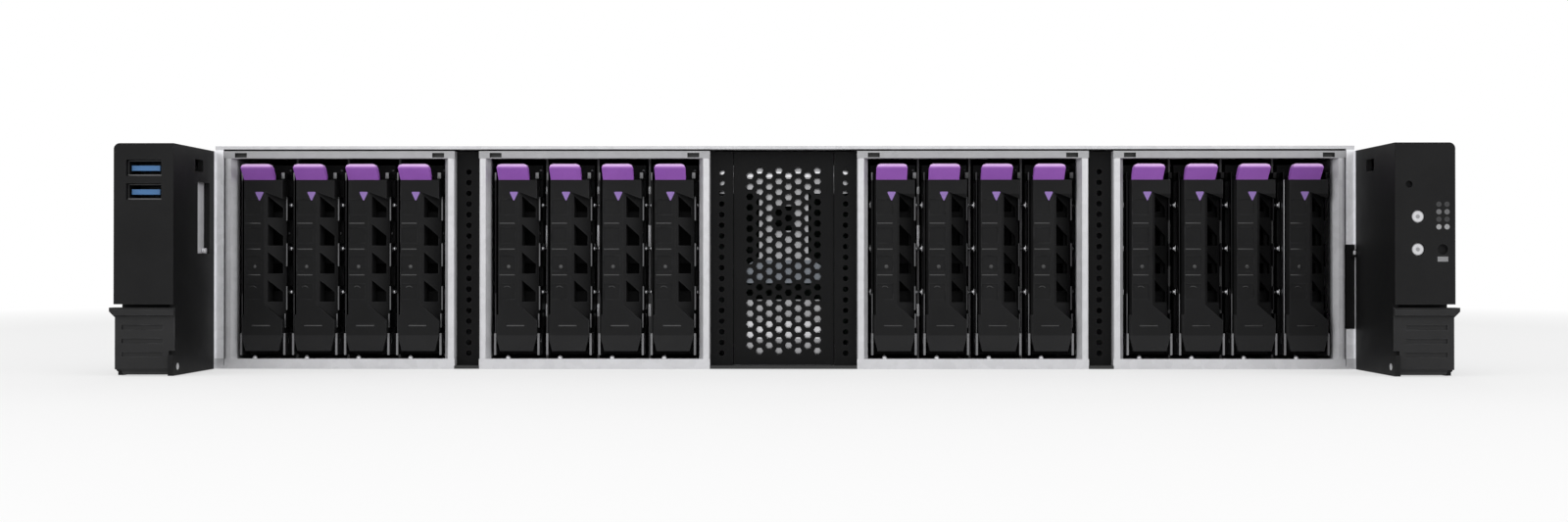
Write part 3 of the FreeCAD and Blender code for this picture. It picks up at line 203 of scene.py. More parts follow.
def noise(tree, vector, scale, detail=3.0, rough=0.55):
    node = tree.nodes.new("ShaderNodeTexNoise")
    setInput(tree, node.inputs["Vector"], vector)
    setInput(tree, node.inputs["Scale"], scale)
    node.inputs["Detail"].default_value = detail
    node.inputs["Roughness"].default_value = rough
    return node.outputs["Fac"]


def spread(tree, value, low, high, toLow=0.0, toHigh=1.0):
    node = tree.nodes.new("ShaderNodeMapRange")
    for socket, number in zip(node.inputs[:5], (value, low, high, toLow, toHigh)):
        setInput(tree, socket, number)
    return node.outputs[0]


def mixColour(tree, mask, first, second):
    node = tree.nodes.new("ShaderNodeMix")
    node.data_type = "RGBA"
    for socket, value in zip((node.inputs[0], node.inputs[6], node.inputs[7]), (mask, first, second)):
        setInput(tree, socket, value)
    return node.outputs[2]


vectorInput = ("Vector", "Vector", (0, 0, 0))
grainOutputs = [("Tone", "Float"), ("Height", "Float")]


def makeZoneGroup():  # 1 inside a box of object coordinates
    inputs = [vectorInput, ("Low", "Vector", (-1, -1, -1)), ("High", "Vector", (1, 1, 1))]
    tree, given, out = newGroup("zone", inputs, [("Mask", "Float")])
    axes = []
    for socket in given[:3]:
        split = tree.nodes.new("ShaderNodeSeparateXYZ")
        tree.links.new(socket, split.inputs[0])
        axes.append(split.outputs)
    mask = None
    for i in range(3):
        over = calc(tree, "GREATER_THAN", axes[0][i], axes[1][i])
        under = calc(tree, "LESS_THAN", axes[0][i], axes[2][i])
        both = calc(tree, "MULTIPLY", over, under)
        mask = both if mask is None else calc(tree, "MULTIPLY", mask, both)
    tree.links.new(mask, out["Mask"])
    return tree


def makeDiscGroup():  # 1 between two radii of a line that runs along the depth
    inputs = [vectorInput, ("Centre", "Vector", (0, 0, 0)), ("Inner", "Float", 0.0), ("Outer", "Float", 0.001)]
    tree, given, out = newGroup("disc", inputs, [("Mask", "Float")])
    offset = vectorCalc(tree, "SUBTRACT", given["Vector"], given["Centre"])[0]
    flat = vectorCalc(tree, "MULTIPLY", offset, (1, 0, 1))[0]
    length = vectorCalc(tree, "LENGTH", flat)["Value"]
    outside = calc(tree, "GREATER_THAN", length, given["Inner"])
    inside = calc(tree, "LESS_THAN", length, given["Outer"])
    tree.links.new(calc(tree, "MULTIPLY", outside, inside), out["Mask"])
    return tree


def makeGrainGroup():  # moulded or sprayed grain: broad tone and fine height
    tree, given, out = newGroup("mouldGrain", [vectorInput, ("Scale", "Float", 2500.0)], grainOutputs)
    broad = noise(tree, given["Vector"], calc(tree, "MULTIPLY", given["Scale"], 0.02), 4.0)
    fine = noise(tree, given["Vector"], given["Scale"], 2.0)
    tone = calc(tree, "MULTIPLY_ADD", fine, 0.35, calc(tree, "MULTIPLY", broad, 0.65))
    tree.links.new(spread(tree, tone, 0.3, 0.7), out["Tone"])
    tree.links.new(fine, out["Height"])
    return tree


def makeSpangleGroup():  # zinc plate: faceted crystals under a fine rolled texture
    tree, given, out = newGroup("zincSpangle", [vectorInput, ("Scale", "Float", 300.0)], grainOutputs)
    cells = tree.nodes.new("ShaderNodeTexVoronoi")
    tree.links.new(given["Vector"], cells.inputs["Vector"])
    tree.links.new(given["Scale"], cells.inputs["Scale"])
    split = tree.nodes.new("ShaderNodeSeparateColor")
    tree.links.new(cells.outputs["Color"], split.inputs[0])
    rolled = noise(tree, given["Vector"], calc(tree, "MULTIPLY", given["Scale"], 6.0), 4.0, 0.7)
    cloud = noise(tree, given["Vector"], calc(tree, "MULTIPLY", given["Scale"], 0.1), 3.0)
    tone = calc(tree, "MULTIPLY_ADD", rolled, 0.45, calc(tree, "MULTIPLY", split.outputs[0], 0.25))
    tree.links.new(calc(tree, "MULTIPLY_ADD", cloud, 0.4, tone), out["Tone"])
    tree.links.new(rolled, out["Height"])
    return tree


def makeBrushedGroup():  # lines drawn out along one axis
    inputs = [vectorInput, ("Scale", "Float", 1.0), ("Stretch", "Vector", (1, 1, 1))]
    tree, given, out = newGroup("brushedLines", inputs, grainOutputs)
    pulled = vectorCalc(tree, "MULTIPLY", given["Vector"], given["Stretch"])[0]
    lines = noise(tree, pulled, given["Scale"], 4.0, 0.65)
    cloud = noise(tree, given["Vector"], 40.0, 3.0)
    tree.links.new(calc(tree, "MULTIPLY_ADD", lines, 0.7, calc(tree, "MULTIPLY", cloud, 0.3)), out["Tone"])
    tree.links.new(lines, out["Height"])
    return tree


def makeRubAndHighlightGroup():  # pale edges, partly rubbed wear and partly painted highlight: where a rounded normal leaves the face's own one
    tree, given, out = newGroup("edgeRubAndHighlight", [vectorInput, ("Radius", "Float", 0.0006)], [("Mask", "Float")])
    rounded = tree.nodes.new("ShaderNodeBevel")
    rounded.samples = 4
    tree.links.new(given["Radius"], rounded.inputs["Radius"])
    plain = tree.nodes.new("ShaderNodeNewGeometry")
    likeness = vectorCalc(tree, "DOT_PRODUCT", rounded.outputs[0], plain.outputs["Normal"])["Value"]
    edge = spread(tree, likeness, 0.995, 0.8)
    broken = spread(tree, noise(tree, given["Vector"], 260.0, 4.0), 0.35, 0.65)
    tree.links.new(calc(tree, "MULTIPLY", edge, broken), out["Mask"])
    return tree


groups = {"zone": makeZoneGroup(), "disc": makeDiscGroup(), "mould": makeGrainGroup(),
          "spangle": makeSpangleGroup(), "brushed": makeBrushedGroup(), "rubAndHighlight": makeRubAndHighlightGroup()}
print("shader groups ready")


def useGroup(tree, name, **values):
    node = tree.nodes.new("ShaderNodeGroup")
    node.node_tree = groups[name]
    for label, value in values.items():
        setInput(tree, node.inputs[label], value)
    return node.outputs


def rgb(colour):
    return tuple(colour) + (1.0,)


rubHighlightRadius = 0.0006
bumpDepth = 0.0001


# one finish: a grain group drives colour, roughness and bump, and zones repaint parts of the piece
def makeFinish(name, look):
    finish = bpy.data.materials.new(name)
    finish.use_nodes = True
    tree = finish.node_tree
    bsdf = tree.nodes["Principled BSDF"]
    coords = tree.nodes.new("ShaderNodeTexCoord").outputs["Object"]
    values = {"Vector": coords, "Scale": look["scale"]}
    if "stretch" in look:
        values["Stretch"] = look["stretch"]
    grain = useGroup(tree, look["grain"], **values)
    colour = mixColour(tree, grain["Tone"], rgb(look["dark"]), rgb(look["light"]))
    rough = spread(tree, grain["Tone"], 0.0, 1.0, *look["rough"])
    metal = look.get("metal", 0.0)
    # edges painted paler: rubbed wear and painted highlight
    if "wornAndHighlight" in look:
        rubAndHighlight = useGroup(tree, "rubAndHighlight", Vector=coords, Radius=rubHighlightRadius)
        colour = mixColour(tree, calc(tree, "MULTIPLY", rubAndHighlight["Mask"], look["wornAndHighlightShare"]), colour, rgb(look["wornAndHighlight"]))
    for zone in look.get("zones", []):
        if "disc" in zone:
            x, z, inner, outer = np.array(zone["disc"]) * mm
            mask = useGroup(tree, "disc", Vector=coords, Centre=(x, 0, z), Inner=inner, Outer=outer)["Mask"]
        else:
            mask = useGroup(tree, "zone", Vector=coords, Low=tuple(np.array(zone["low"]) * mm),
                            High=tuple(np.array(zone["high"]) * mm))["Mask"]
        shade = mixColour(tree, grain["Tone"], rgb(zone["dark"]), rgb(zone["light"]))
        colour = mixColour(tree, mask, colour, shade)
        if "rough" in zone:
            rough = spread(tree, mask, 0.0, 1.0, rough, zone["rough"])
        if zone.get("metal", metal) != metal:
            metal = spread(tree, mask, 0.0, 1.0, metal, zone["metal"])
    setInput(tree, bsdf.inputs["Base Color"], colour)
    setInput(tree, bsdf.inputs["Roughness"], rough)
    setInput(tree, bsdf.inputs["Metallic"], metal)
    bsdf.inputs["Specular IOR Level"].default_value = look.get("gloss", 0.5)
    bump = tree.nodes.new("ShaderNodeBump")
    bump.inputs["Strength"].default_value = look["bump"]
    bump.inputs["Distance"].default_value = bumpDepth
    tree.links.new(grain["Height"], bump.inputs["Height"])
    tree.links.new(bump.outputs[0], bsdf.inputs["Normal"])
    return finish


far = 2000.0  # beyond the object on every side


# box to repaint, in mm: depth from the front plane, then height and across
def depthZone(low, high, zLow=-far, zHigh=far, xLow=-far, xHigh=far, **paint):
    return dict(low=(xLow, frontY + low, zLow), high=(xHigh, frontY + high, zHigh), **paint)


def grey(dark, light, **more):  # neutral, with a trace of blue
    return dict(dark=(dark, dark, dark * 1.03), light=(light, light, light * 1.03), **more)


# paints that more than one finish uses
nearBlack = grey(0.008, 0.0125, rough=0.56, metal=0.0)
aluminium = grey(0.30, 0.46, rough=0.38, metal=1.0)
capSilver = grey(0.5, 0.7, rough=0.35, metal=1.0)
darkPlastic = grey(0.010, 0.018, rough=0.5, metal=0.0)
inletBlack = dict(dark=(0.009, 0.009, 0.0095), light=(0.016, 0.016, 0.017), rough=0.5, metal=0.0)
tongueBlue = dict(dark=(0.035, 0.13, 0.31), light=(0.05, 0.17, 0.38), rough=0.42, metal=0.0)
boardTone = dict(dark=(0.012, 0.055, 0.030), light=(0.022, 0.085, 0.045), rough=0.45, metal=0.0)

# sheet metal: black strips on the tray's sill, flanges painted paler as painted light against the ear's shadow
zincSteel = dict(grey(0.43, 0.63, rough=(0.34, 0.5)), grain="spangle", scale=420.0, metal=0.5, bump=0.12)
sillX = ((-127.2, -117.5), (-28.4, 28.4), (117.5, 127.2))
trayZones = [depthZone(-0.2, 4.0, -0.1, 1.25, low, high, **nearBlack) for low, high in sillX]
flangeLightZones = [depthZone(-0.5, 0.4, 4, 84.5, low, low + 5.0, **grey(0.68, 0.94)) for low in (-219.9, 214.9)]
traySteel = dict(zincSteel, zones=trayZones + flangeLightZones)

# cages: painted shade inside, a darker top lip, painted shade in two notches, a bracket behind the centre grille with
# bands of painted light
cageShadeZones = [depthZone(12.9, 140, 2.3, 83.2, mid - 43.4, mid + 43.4, **grey(0.05, 0.09))
             for mid in cageMid.tolist()]
lipZone = depthZone(-0.5, 1.6, 81.2, 84.2, **grey(0.27, 0.365))
# painted shade: the two notches in the top lip are painted near black
notchZones = [depthZone(-0.5, 1.7, 81.6, 83.4, mid + low, mid + low + 4.6, **nearBlack)
              for mid in cageMid.tolist() for low in (-40.5, 35.9)]
bracket = dict(low=9.0, high=12.4, xLow=-28.6, xHigh=28.6)
# bracket bands: painted light from 74.6 to 76.6 and from 11.2 to 18.0, a darker bluish band from 32 to 42
bracketBands = ((0, 90, grey(0.24, 0.44, rough=0.16, metal=1.0)), (74.6, 76.6, grey(0.62, 0.82)),
                (11.2, 18.0, grey(0.5, 0.74)), (32, 42, dict(dark=(0.12, 0.135, 0.15), light=(0.22, 0.235, 0.26))))
bracketZones = [depthZone(zLow=low, zHigh=high, **bracket, **paint) for low, high, paint in bracketBands]
cageSteel = dict(zincSteel, **grey(0.46, 0.63, rough=(0.36, 0.52)),
                 zones=cageShadeZones + [lipZone] + notchZones + bracketZones)

# black mouldings of the front
panelBlack = dict(grey(0.005, 0.008, rough=(0.5, 0.62)), grain="mould", scale=3200.0, gloss=0.07, bump=0.25,
                  wornAndHighlight=(0.032, 0.032, 0.033), wornAndHighlightShare=0.35)
carrierBlack = dict(grey(0.0075, 0.012, rough=(0.48, 0.6)), grain="mould", scale=2600.0, gloss=0.07, bump=0.2,
                    wornAndHighlight=(0.04, 0.04, 0.04), wornAndHighlightShare=0.35,
                    zones=[depthZone(18.5, 119.0, 7.4, 77.05, **aluminium),
                           depthZone(1.9, 10.9, 5.1, 13.7, **grey(0.12, 0.22, rough=0.42, metal=1.0))])
tabPurple = dict(dark=(0.285, 0.095, 0.445), light=(0.385, 0.14, 0.56), rough=0.42)
# painted highlight on the tab's top: a lighter band from 77.2 mm and a pale rim from 78.0 mm
tabBrowHighlight = dict(dark=(0.33, 0.14, 0.47), light=(0.42, 0.19, 0.56), rough=0.46)
tabRimHighlight = dict(dark=(0.58, 0.37, 0.68), light=(0.70, 0.47, 0.78), rough=0.5)
tabZones = [depthZone(-10, 2.45, low, 90, **paint)
            for low, paint in ((73.02, tabPurple), (77.2, tabBrowHighlight), (78.0, tabRimHighlight))]
# painted shade on the window flanks of bays 9 to 16
flankShadeZones = [depthZone(0.5, 9, 25.5, 67.6, x + 2.0, x + 8.2, **grey(0.003, 0.0045)) for x in bayX[8:].tolist()]
leverBlack = dict(grey(0.0085, 0.0135, rough=(0.44, 0.56)), grain="mould", scale=2400.0, gloss=0.08, bump=0.2,
                  wornAndHighlight=(0.05, 0.05, 0.052), wornAndHighlightShare=0.5,
                  zones=[depthZone(-10, 20, -1, 12.9, **grey(0.015, 0.022))] + tabZones + flankShadeZones)
# painted shade on the ear parts inboard of 219.75 mm, its inner walls
earBlack = dict(grey(0.0085, 0.013, rough=(0.46, 0.58)), grain="mould", scale=2800.0, gloss=0.08, bump=0.18,
                wornAndHighlight=(0.045, 0.045, 0.046), wornAndHighlightShare=0.4,
                zones=[depthZone(-50, 10, -1, 90, -219.75, 219.75, **grey(0.0035, 0.0055))])
lampRows = ((61.8, 0.06), (59.1, 0.15), (56.4, 0.055), (53.7, 0.32))  # height and brightness of each lamp row
lampZones = [dict(disc=(x, z, 0.0, 0.95), **grey(tone * 0.8, tone, rough=0.3))
             for z, tone in lampRows for x in (235.4, 238.3)]
resetMark = depthZone(-43, -41.7, 41.2, 43.0, 234.9, 238.7, **grey(0.16, 0.24, rough=0.35))
rightEarBlack = dict(earBlack, zones=earBlack["zones"] + lampZones + [resetMark])
latchBlack = dict(grey(0.0125, 0.021, rough=(0.4, 0.52)), grain="mould", scale=2400.0, gloss=0.16, bump=0.16,
                  wornAndHighlight=(0.07, 0.07, 0.072), wornAndHighlightShare=0.5)
# inner ring is a printed centre mark; outer ring is painted shade round the button's edge
buttonRings = ((0.0, 0.75, grey(0.22, 0.32)), (1.85, 4.0, grey(0.2, 0.3)))  # inner and outer radius, paint
buttonSilver = dict(grey(0.44, 0.60, rough=(0.25, 0.4)), grain="brushed", scale=900.0, stretch=(1.0, 1.0, 12.0),
                    metal=1.0, bump=0.1, zones=[dict(disc=(227.95, z, inner, outer), **paint)
                                                for z in (57.4, 45.6) for inner, outer, paint in buttonRings])

# sockets and boards
# socket mouths painted dark as painted shade, a paler strip under each mouth, blue tongues
usbZones = [depthZone(-41.0, -20.0, 60, 80, -240, -220, **grey(0.006, 0.010, rough=0.5, metal=0.0))]
for usbZ in (75.1, 66.5):
    usbZones += [depthZone(-41.0, -39.9, usbZ - 2.9, usbZ - 2.3, -240, -220, **grey(0.10, 0.15)),
                 depthZone(-39.9, -29.9, usbZ - 1.05, usbZ + 0.95, -235.7, -225.2, **tongueBlue)]
earBoards = [depthZone(-29.9, -20.0, **boardTone), depthZone(-32.1, -29.0, 30, 80, 200, 260, **boardTone)]
socketMetal = dict(grey(0.46, 0.68, rough=(0.28, 0.42)), grain="brushed", scale=700.0, stretch=(1.0, 0.2, 1.0),
                   metal=1.0, bump=0.08, zones=usbZones + earBoards)
portMetal = dict(socketMetal, zones=[depthZone(600, 705.9, 10.9, 22.0, -203, -139, **darkPlastic),
                                     depthZone(600, 705.9, 10.5, 23.4, -135.4, -104.9, **tongueBlue),
                                     depthZone(706.8, 713, 0, 40, -95, -60, **tongueBlue)])
boardGreen = dict(grain="brushed", scale=260.0, stretch=(5.0, 0.35, 1.0), dark=(0.010, 0.045, 0.024),
                  light=(0.024, 0.095, 0.05), rough=(0.36, 0.5), gloss=0.5, bump=0.1, metal=0.0)
planeGreen = dict(boardGreen, zones=[depthZone(100, 128.9, **darkPlastic)])
systemGreen = dict(boardGreen, zones=[depthZone(190, 700, 9.35, 60, **darkPlastic),
                                      depthZone(230, 252, 12.0, 60, **capSilver),
                                      depthZone(300, 384, 15.2, 15.6, **capSilver),
                                      depthZone(580, 612, 12.9, 14.0, -6, 18, **capSilver)])
moduleDark = dict(grain="brushed", scale=500.0, stretch=(1.0, 0.15, 1.0), dark=(0.03, 0.03, 0.033),
                  light=(0.06, 0.06, 0.064), rough=(0.35, 0.5), metal=0.0, bump=0.08,
                  zones=[depthZone(200, 500, 41.2, 60, **boardTone), depthZone(200, 280.9, **boardTone),
                         depthZone(406.4, 500, **boardTone)])

# fans, supplies and fixings
finMetal = dict(grain="brushed", scale=800.0, stretch=(1.0, 0.1, 1.0), dark=(0.55, 0.56, 0.57),
                light=(0.78, 0.785, 0.79), rough=(0.3, 0.45), metal=1.0, bump=0.08)
fanBlack = dict(grain="mould", scale=2200.0, dark=(0.008, 0.008, 0.009), light=(0.016, 0.016, 0.017),
                rough=(0.42, 0.55), gloss=0.35, bump=0.15)
fanWall = dict(fanBlack, zones=[depthZone(140, 154.9, dark=(0.50, 0.51, 0.52), light=(0.72, 0.73, 0.74),
                                          rough=0.42, metal=1.0)])
supplyMid = (21.8, 64.2)  # mid height of the lower and the upper supply
bladeSpots = ((-7, -1.5), (7, -1.5), (0, 2.5))  # contact blades of a mains inlet
inletX = 165.65
inletZones = [depthZone(690, 707.1, 13.2, 30.4, 153.3, 178.0, **inletBlack),
              depthZone(690, 707.1, 55.6, 72.8, 153.3, 178.0, **inletBlack),
              depthZone(702, 707.05, 1.9, 84, 182.5, 216.2, **inletBlack), depthZone(707.3, 760, **inletBlack)]
bladeZones = [depthZone(691.3, 701.3, mid + up - 2.2, mid + up + 2.2, inletX + x - 1.2, inletX + x + 1.2, **capSilver)
              for mid in supplyMid for x, up in bladeSpots]
psuSteel = dict(zincSteel, scale=360.0, zones=inletZones + bladeZones)
latchPurple = dict(grain="mould", scale=2400.0, dark=(0.15, 0.04, 0.28), light=(0.21, 0.058, 0.36),
                   rough=(0.38, 0.5), bump=0.15, wornAndHighlight=(0.4, 0.25, 0.5), wornAndHighlightShare=0.5)
fixingSteel = dict(grain="brushed", scale=900.0, stretch=(1.0, 1.0, 1.0), dark=(0.5, 0.5, 0.51),
                   light=(0.74, 0.74, 0.75), rough=(0.26, 0.4), metal=1.0, bump=0.1)

# numbered nodes share the finish of their name without the number
nodeFinish = {
    "chassis_base": traySteel, "drive_cages": cageSteel, "top_cover": zincSteel, "slot_covers": zincSteel,
    "front_vent_panels": panelBlack, "drive_carrier": carrierBlack, "carrier_lever": leverBlack,
    "left_ear": earBlack, "right_ear": rightEarBlack, "left_ear_latch": latchBlack, "right_ear_latch": latchBlack,
    "cover_latch": latchBlack, "power_button": buttonSilver, "id_button": buttonSilver, "front_io": socketMetal,
    "rear_ports": portMetal, "backplane": planeGreen, "system_board": systemGreen, "memory_modules": moduleDark,
    "heatsinks": finMetal, "fan_frames": fanWall, "fan_rotor": fanBlack, "psu_lower": psuSteel,
    "psu_upper": psuSteel, "psu_lower_latch": latchPurple, "psu_upper_latch": latchPurple,
    "pins_and_screws": fixingSteel,
}
made = {}
for nodeName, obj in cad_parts.items():
    base = nodeName if nodeName in nodeFinish else nodeName.rsplit("_", 1)[0]
    if base not in made:
        made[base] = makeFinish(base + "Finish", nodeFinish[base])
    obj.data.materials.clear()
    obj.data.materials.append(made[base])
print("finishes on", len(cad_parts), "nodes")

# finishes of the added pieces that more than one of them uses
brightFinish = makeFinish("brightFinish", dict(zincSteel, **grey(0.46, 0.66), scale=900.0))
chipFinish = makeFinish("chipFinish", dict(grey(0.012, 0.024, rough=(0.4, 0.55)), grain="mould", scale=2000.0,
                                           bump=0.1))
guardFinish = makeFinish("guardFinish", fixingSteel)

# lever marks: triangle under the tab, status lens with a dot, curved mark, ribs, pale line
# shapes give the slab's or disc's sizes, sunk says how far behind the lever's face each mark starts
leverMark = dict(face=1.0, triangle=((-2.75, 68.4), (-1.0, 64.7), (0.75, 68.4)), soften=0.16, triangleRise=0.08,
                 lensAt=(-3.0, 39.4), lensShape=(0.8, 0.22, 0.1), dotShape=(0.4, 0.06, 0.02),
                 arcAt=(-3.6, 30.4), arcRadius=1.5, arcTurn=(0.6, 2.4, 9), arcWire=0.16,
                 ribX=-3.6, ribZ=(56.2, 46.2, 36.2), ribShape=(6.0, 0.45, 0.15, 0.07, 0.03),
                 lineAt=(-0.4, 16.6), lineShape=(7.0, 0.45, 0.15, 0.5, 0.08),
                 sunk=dict(flat=0.02, arc=0.25, lens=0.32, line=0.58, dot=0.12))
markMould = dict(grain="mould", scale=3000.0)
markPurple = makeFinish("markPurple", dict(markMould, dark=(0.20, 0.115, 0.35), light=(0.26, 0.15, 0.42),
                                           rough=(0.45, 0.55), bump=0.05))
# painted shade: marks darker from x 160, the grey marks already from x 0
fadeShadeZones = [depthZone(-10, 20, xLow=160.0, **grey(0.009, 0.014))]  # marks hardly show at the right end
markGrey = makeFinish("markGrey", dict(markMould, **grey(0.04, 0.06, rough=(0.4, 0.5)), bump=0.05,
                                       zones=[depthZone(-10, 20, xLow=0.0, **grey(0.02, 0.03))] + fadeShadeZones))
lensGrey = makeFinish("lensGrey", dict(markMould, **grey(0.014, 0.021, rough=(0.2, 0.3)), bump=0.02,
                                       zones=fadeShadeZones))
markY = {kind: frontY + leverMark["face"] + deep for kind, deep in leverMark["sunk"].items()}
triangle = softCorners(leverMark["triangle"], leverMark["soften"])
arcTurn = np.linspace(*leverMark["arcTurn"])
arcX, arcZ = leverMark["arcAt"]
for number, x in enumerate(bayX, 1):
    body = f"lever_{number:02d}"
    sheet = loft(np.stack([triangle, triangle]), [0, leverMark["triangleRise"]], (x, markY["flat"], 0), "front")
    piece(f"lever_triangle_{number:02d}", [sheet], markPurple, body)
    lensX, lensZ = x + leverMark["lensAt"][0], leverMark["lensAt"][1]
    lens = puck(*leverMark["lensShape"], (lensX, markY["lens"], lensZ), "front")
    arc = np.stack([x + arcX + leverMark["arcRadius"] * np.cos(arcTurn), np.full(len(arcTurn), markY["arc"]),
                    arcZ + leverMark["arcRadius"] * np.sin(arcTurn)], axis=-1)
    ribSpots = [(x + leverMark["ribX"], markY["flat"], z) for z in leverMark["ribZ"]]
    ribs = slab(*leverMark["ribShape"], ribSpots, "front")
    piece(f"lever_lens_{number:02d}", [lens, wire(arc, leverMark["arcWire"]), ribs], lensGrey, body)
    lineSpot = (x + leverMark["lineAt"][0], markY["line"], leverMark["lineAt"][1])
    dot = puck(*leverMark["dotShape"], (lensX, markY["dot"], lensZ), "front", 12)
    piece(f"lever_line_{number:02d}", [slab(*leverMark["lineShape"], lineSpot, "front"), dot],
          markGrey, body)
print("lever marks done")

# spring fingers folded round the carrier's right edge, dots and tongues, rivets, hooks beside the tab
# runs: low, high and depth of the lip; hooks: across, height, width, tallness and reach
springFinger = dict(runs=((57.4, 66.6, 5.2), (39.6, 48.5, 5.2), (22.6, 31.8, 5.2), (15.8, 21.2, 3.2)),
                    bow=0.14, bowFrom=11.5, dotZ=(63.5, 46.5, 29.5), dot=(0.85, 1.1), dotDeep=9.0,
                    dotRight=8.92, dotLeft=-8.98, tongue=(8.6, 3.4, 0.8, 0.22, 0.05), tongueAt=(-8.82, 12.0),
                    bezel=11.02, rivets=((7.4, 52.5), (7.9, 77.2)), rivet=(0.6, 0.4), roundSteps=12,
                    hooks=((-8.45, 74.4, 0.7, 3.2, 8.0), (7.9, 74.7, 1.4, 2.4, 9.4)), hookCorner=0.2, hookRim=0.15)
carrierRail = dict(shape=(0.4, 59.9, 0.1, 2.8, 0.1), place=(-8.4, 5.8, 43.15))  # at the carrier's left edge
# spring steel in three tones by run of bays: painted light in bays 1 to 9, painted shade towards bay 16
springLightAndShade = ((9, grey(0.07, 0.14)), (12, grey(0.03, 0.05)), (16, grey(0.006, 0.010)))  # last bay of a run, tone
# painted highlights on the spring dots
dotHighlightZones = [depthZone(7.0, 10.4, z - 1.0, z + 1.0, **grey(0.36, 0.5)) for z in springFinger["dotZ"]]
springLitAndShadedFinish = [makeFinish(f"springLitAndShadedFinish{last}", dict(fixingSteel, zones=dotHighlightZones, **tone))
                for last, tone in springLightAndShade]
# rail painted near black with painted highlights: lighter below 29 mm, dimmer left of centre, brightest from x 185 to
# 200
railHighlightFinish = makeFinish("railHighlightFinish", dict(fixingSteel, **grey(0.010, 0.017), zones=[
    depthZone(-5, 20, 0, 29.0, **grey(0.10, 0.17)), depthZone(-5, 20, 0, 29.0, xHigh=0.0, **grey(0.04, 0.07)),
    depthZone(-5, 20, 0, 90, 185.0, 200.0, **grey(0.22, 0.32))]))


# thin sheet: a front lip at the given depth, a run back along the side, a bowed end against the bezel
def fingerSection(front):
    outer = ((8.05, front), (8.55, front), (8.8, front + 0.4), (9.0, 10.8), (9.2, 12.4), (8.96, 16.0))
    inner = ((8.83, 16.0), (9.0, 12.4), (8.84, 10.96), (8.62, front + 0.6), (8.5, front + 0.3), (8.05, front + 0.3))
    return np.array(outer + inner)


climb = np.linspace(0, 1, 7)
for number, x in enumerate(bayX, 1):
    parts = []
    for low, high, front in springFinger["runs"]:
        section = fingerSection(front)
        sway = np.zeros((len(climb), len(section), 2))
        bowed = section[:, 1] > springFinger["bowFrom"]
        sway[..., 0] = springFinger["bow"] * np.sin(np.pi * climb)[:, None] * bowed
        parts.append(loft(section[None] + sway, low + climb * (high - low), (x, frontY, 0), "top"))
    for side, facing in ((springFinger["dotRight"], "right"), (springFinger["dotLeft"], "left")):
        dotSpots = [(x + side, frontY + springFinger["dotDeep"], z) for z in springFinger["dotZ"]]
        parts.append(dome(*springFinger["dot"], dotSpots, facing, springFinger["roundSteps"]))
    tongueX, tongueDeep = springFinger["tongueAt"]
    tongueSpots = [(x + tongueX, frontY + tongueDeep, z) for z in springFinger["dotZ"]]
    parts.append(slab(*springFinger["tongue"], tongueSpots, "left"))
    bezelY = frontY + springFinger["bezel"]
    rivetSpots = [(x + u, bezelY, z) for u, z in springFinger["rivets"]]
    parts.append(dome(*springFinger["rivet"], rivetSpots, "front", springFinger["roundSteps"]))
    for u, z, wide, tall, reach in springFinger["hooks"]:
        parts.append(slab(wide, tall, springFinger["hookCorner"], reach, springFinger["hookRim"],
                          (x + u, bezelY, z), "front"))
    tone = np.searchsorted([last for last, paint in springLightAndShade], number)
    piece(f"carrier_spring_{number:02d}", parts, springLitAndShadedFinish[tone], f"drive_{number:02d}")
    railX, railDeep, railZ = carrierRail["place"]
    rail = slab(*carrierRail["shape"], (x + railX, frontY + railDeep, railZ), "front")
    piece(f"carrier_rail_{number:02d}", [rail], railHighlightFinish, f"drive_{number:02d}")
print("carrier springs done")

# cage details: stamped tabs on some divider edges, stop nubs on the bottom lip
cageDetail = dict(tabs=((69.5, 3.0), (51.5, 8.6), (22.3, 5.0)), tabWide=1.2, tabEdge=(0.3, 0.5, 0.2),
                  tabDeep=13.02, tabGaps=slice(3, 7), nub=(1.0, 1.25), nubAt=(-3.6, 3.9), lipTop=3.75)
gapX = (cageMid[:, None] + np.array([-1, 0, 1]) * bayPitch).ravel()
cageParts = []
for z, tall in cageDetail["tabs"]:
    tabSpots = [(x, frontY + cageDetail["tabDeep"], z) for x in gapX[cageDetail["tabGaps"]]]
    cageParts.append(slab(cageDetail["tabWide"], tall, *cageDetail["tabEdge"], tabSpots, "front"))
nubX, nubDeep = cageDetail["nubAt"]
nubSpots = [(x + nubX, frontY + nubDeep, cageDetail["lipTop"]) for x in bayX]
cageParts.append(dome(*cageDetail["nub"], nubSpots, "top", 14))
piece("cage_dimples", cageParts, brightFinish, "chassis")

# bright stay inside the left ear, seen through the slot in its inner wall, and the tip at the slot's foot
earStay = dict(shape=(23.5, 33.0, 1.0, 1.1, 0.2), place=(-222.9, -13.25, 57.5),
               tipShape=(2.4, 2.0, 0.4, 1.2, 0.2), tipPlace=(-221.6, -7.8, 45.45))
stayFinish = makeFinish("stayFinish", dict(zincSteel, **grey(0.62, 0.78), metal=0.3, scale=900.0))
frontPlane = np.array((0, frontY, 0))
piece("left_ear_stay", [slab(*earStay["shape"], frontPlane + earStay["place"], "right"),
                        slab(*earStay["tipShape"], frontPlane + earStay["tipPlace"], "right")],
      stayFinish, "chassis")

# bright end of the hook on the right flange cover
hookTip = dict(shape=(1.1, 1.7, 0.4, 0.16, 0.08), place=(218.85, -2.38, 44.8))
piece("flange_hook_tip", [slab(*hookTip["shape"], frontPlane + hookTip["place"], "front")],
      brightFinish, "chassis")
print("cage and ear details done")

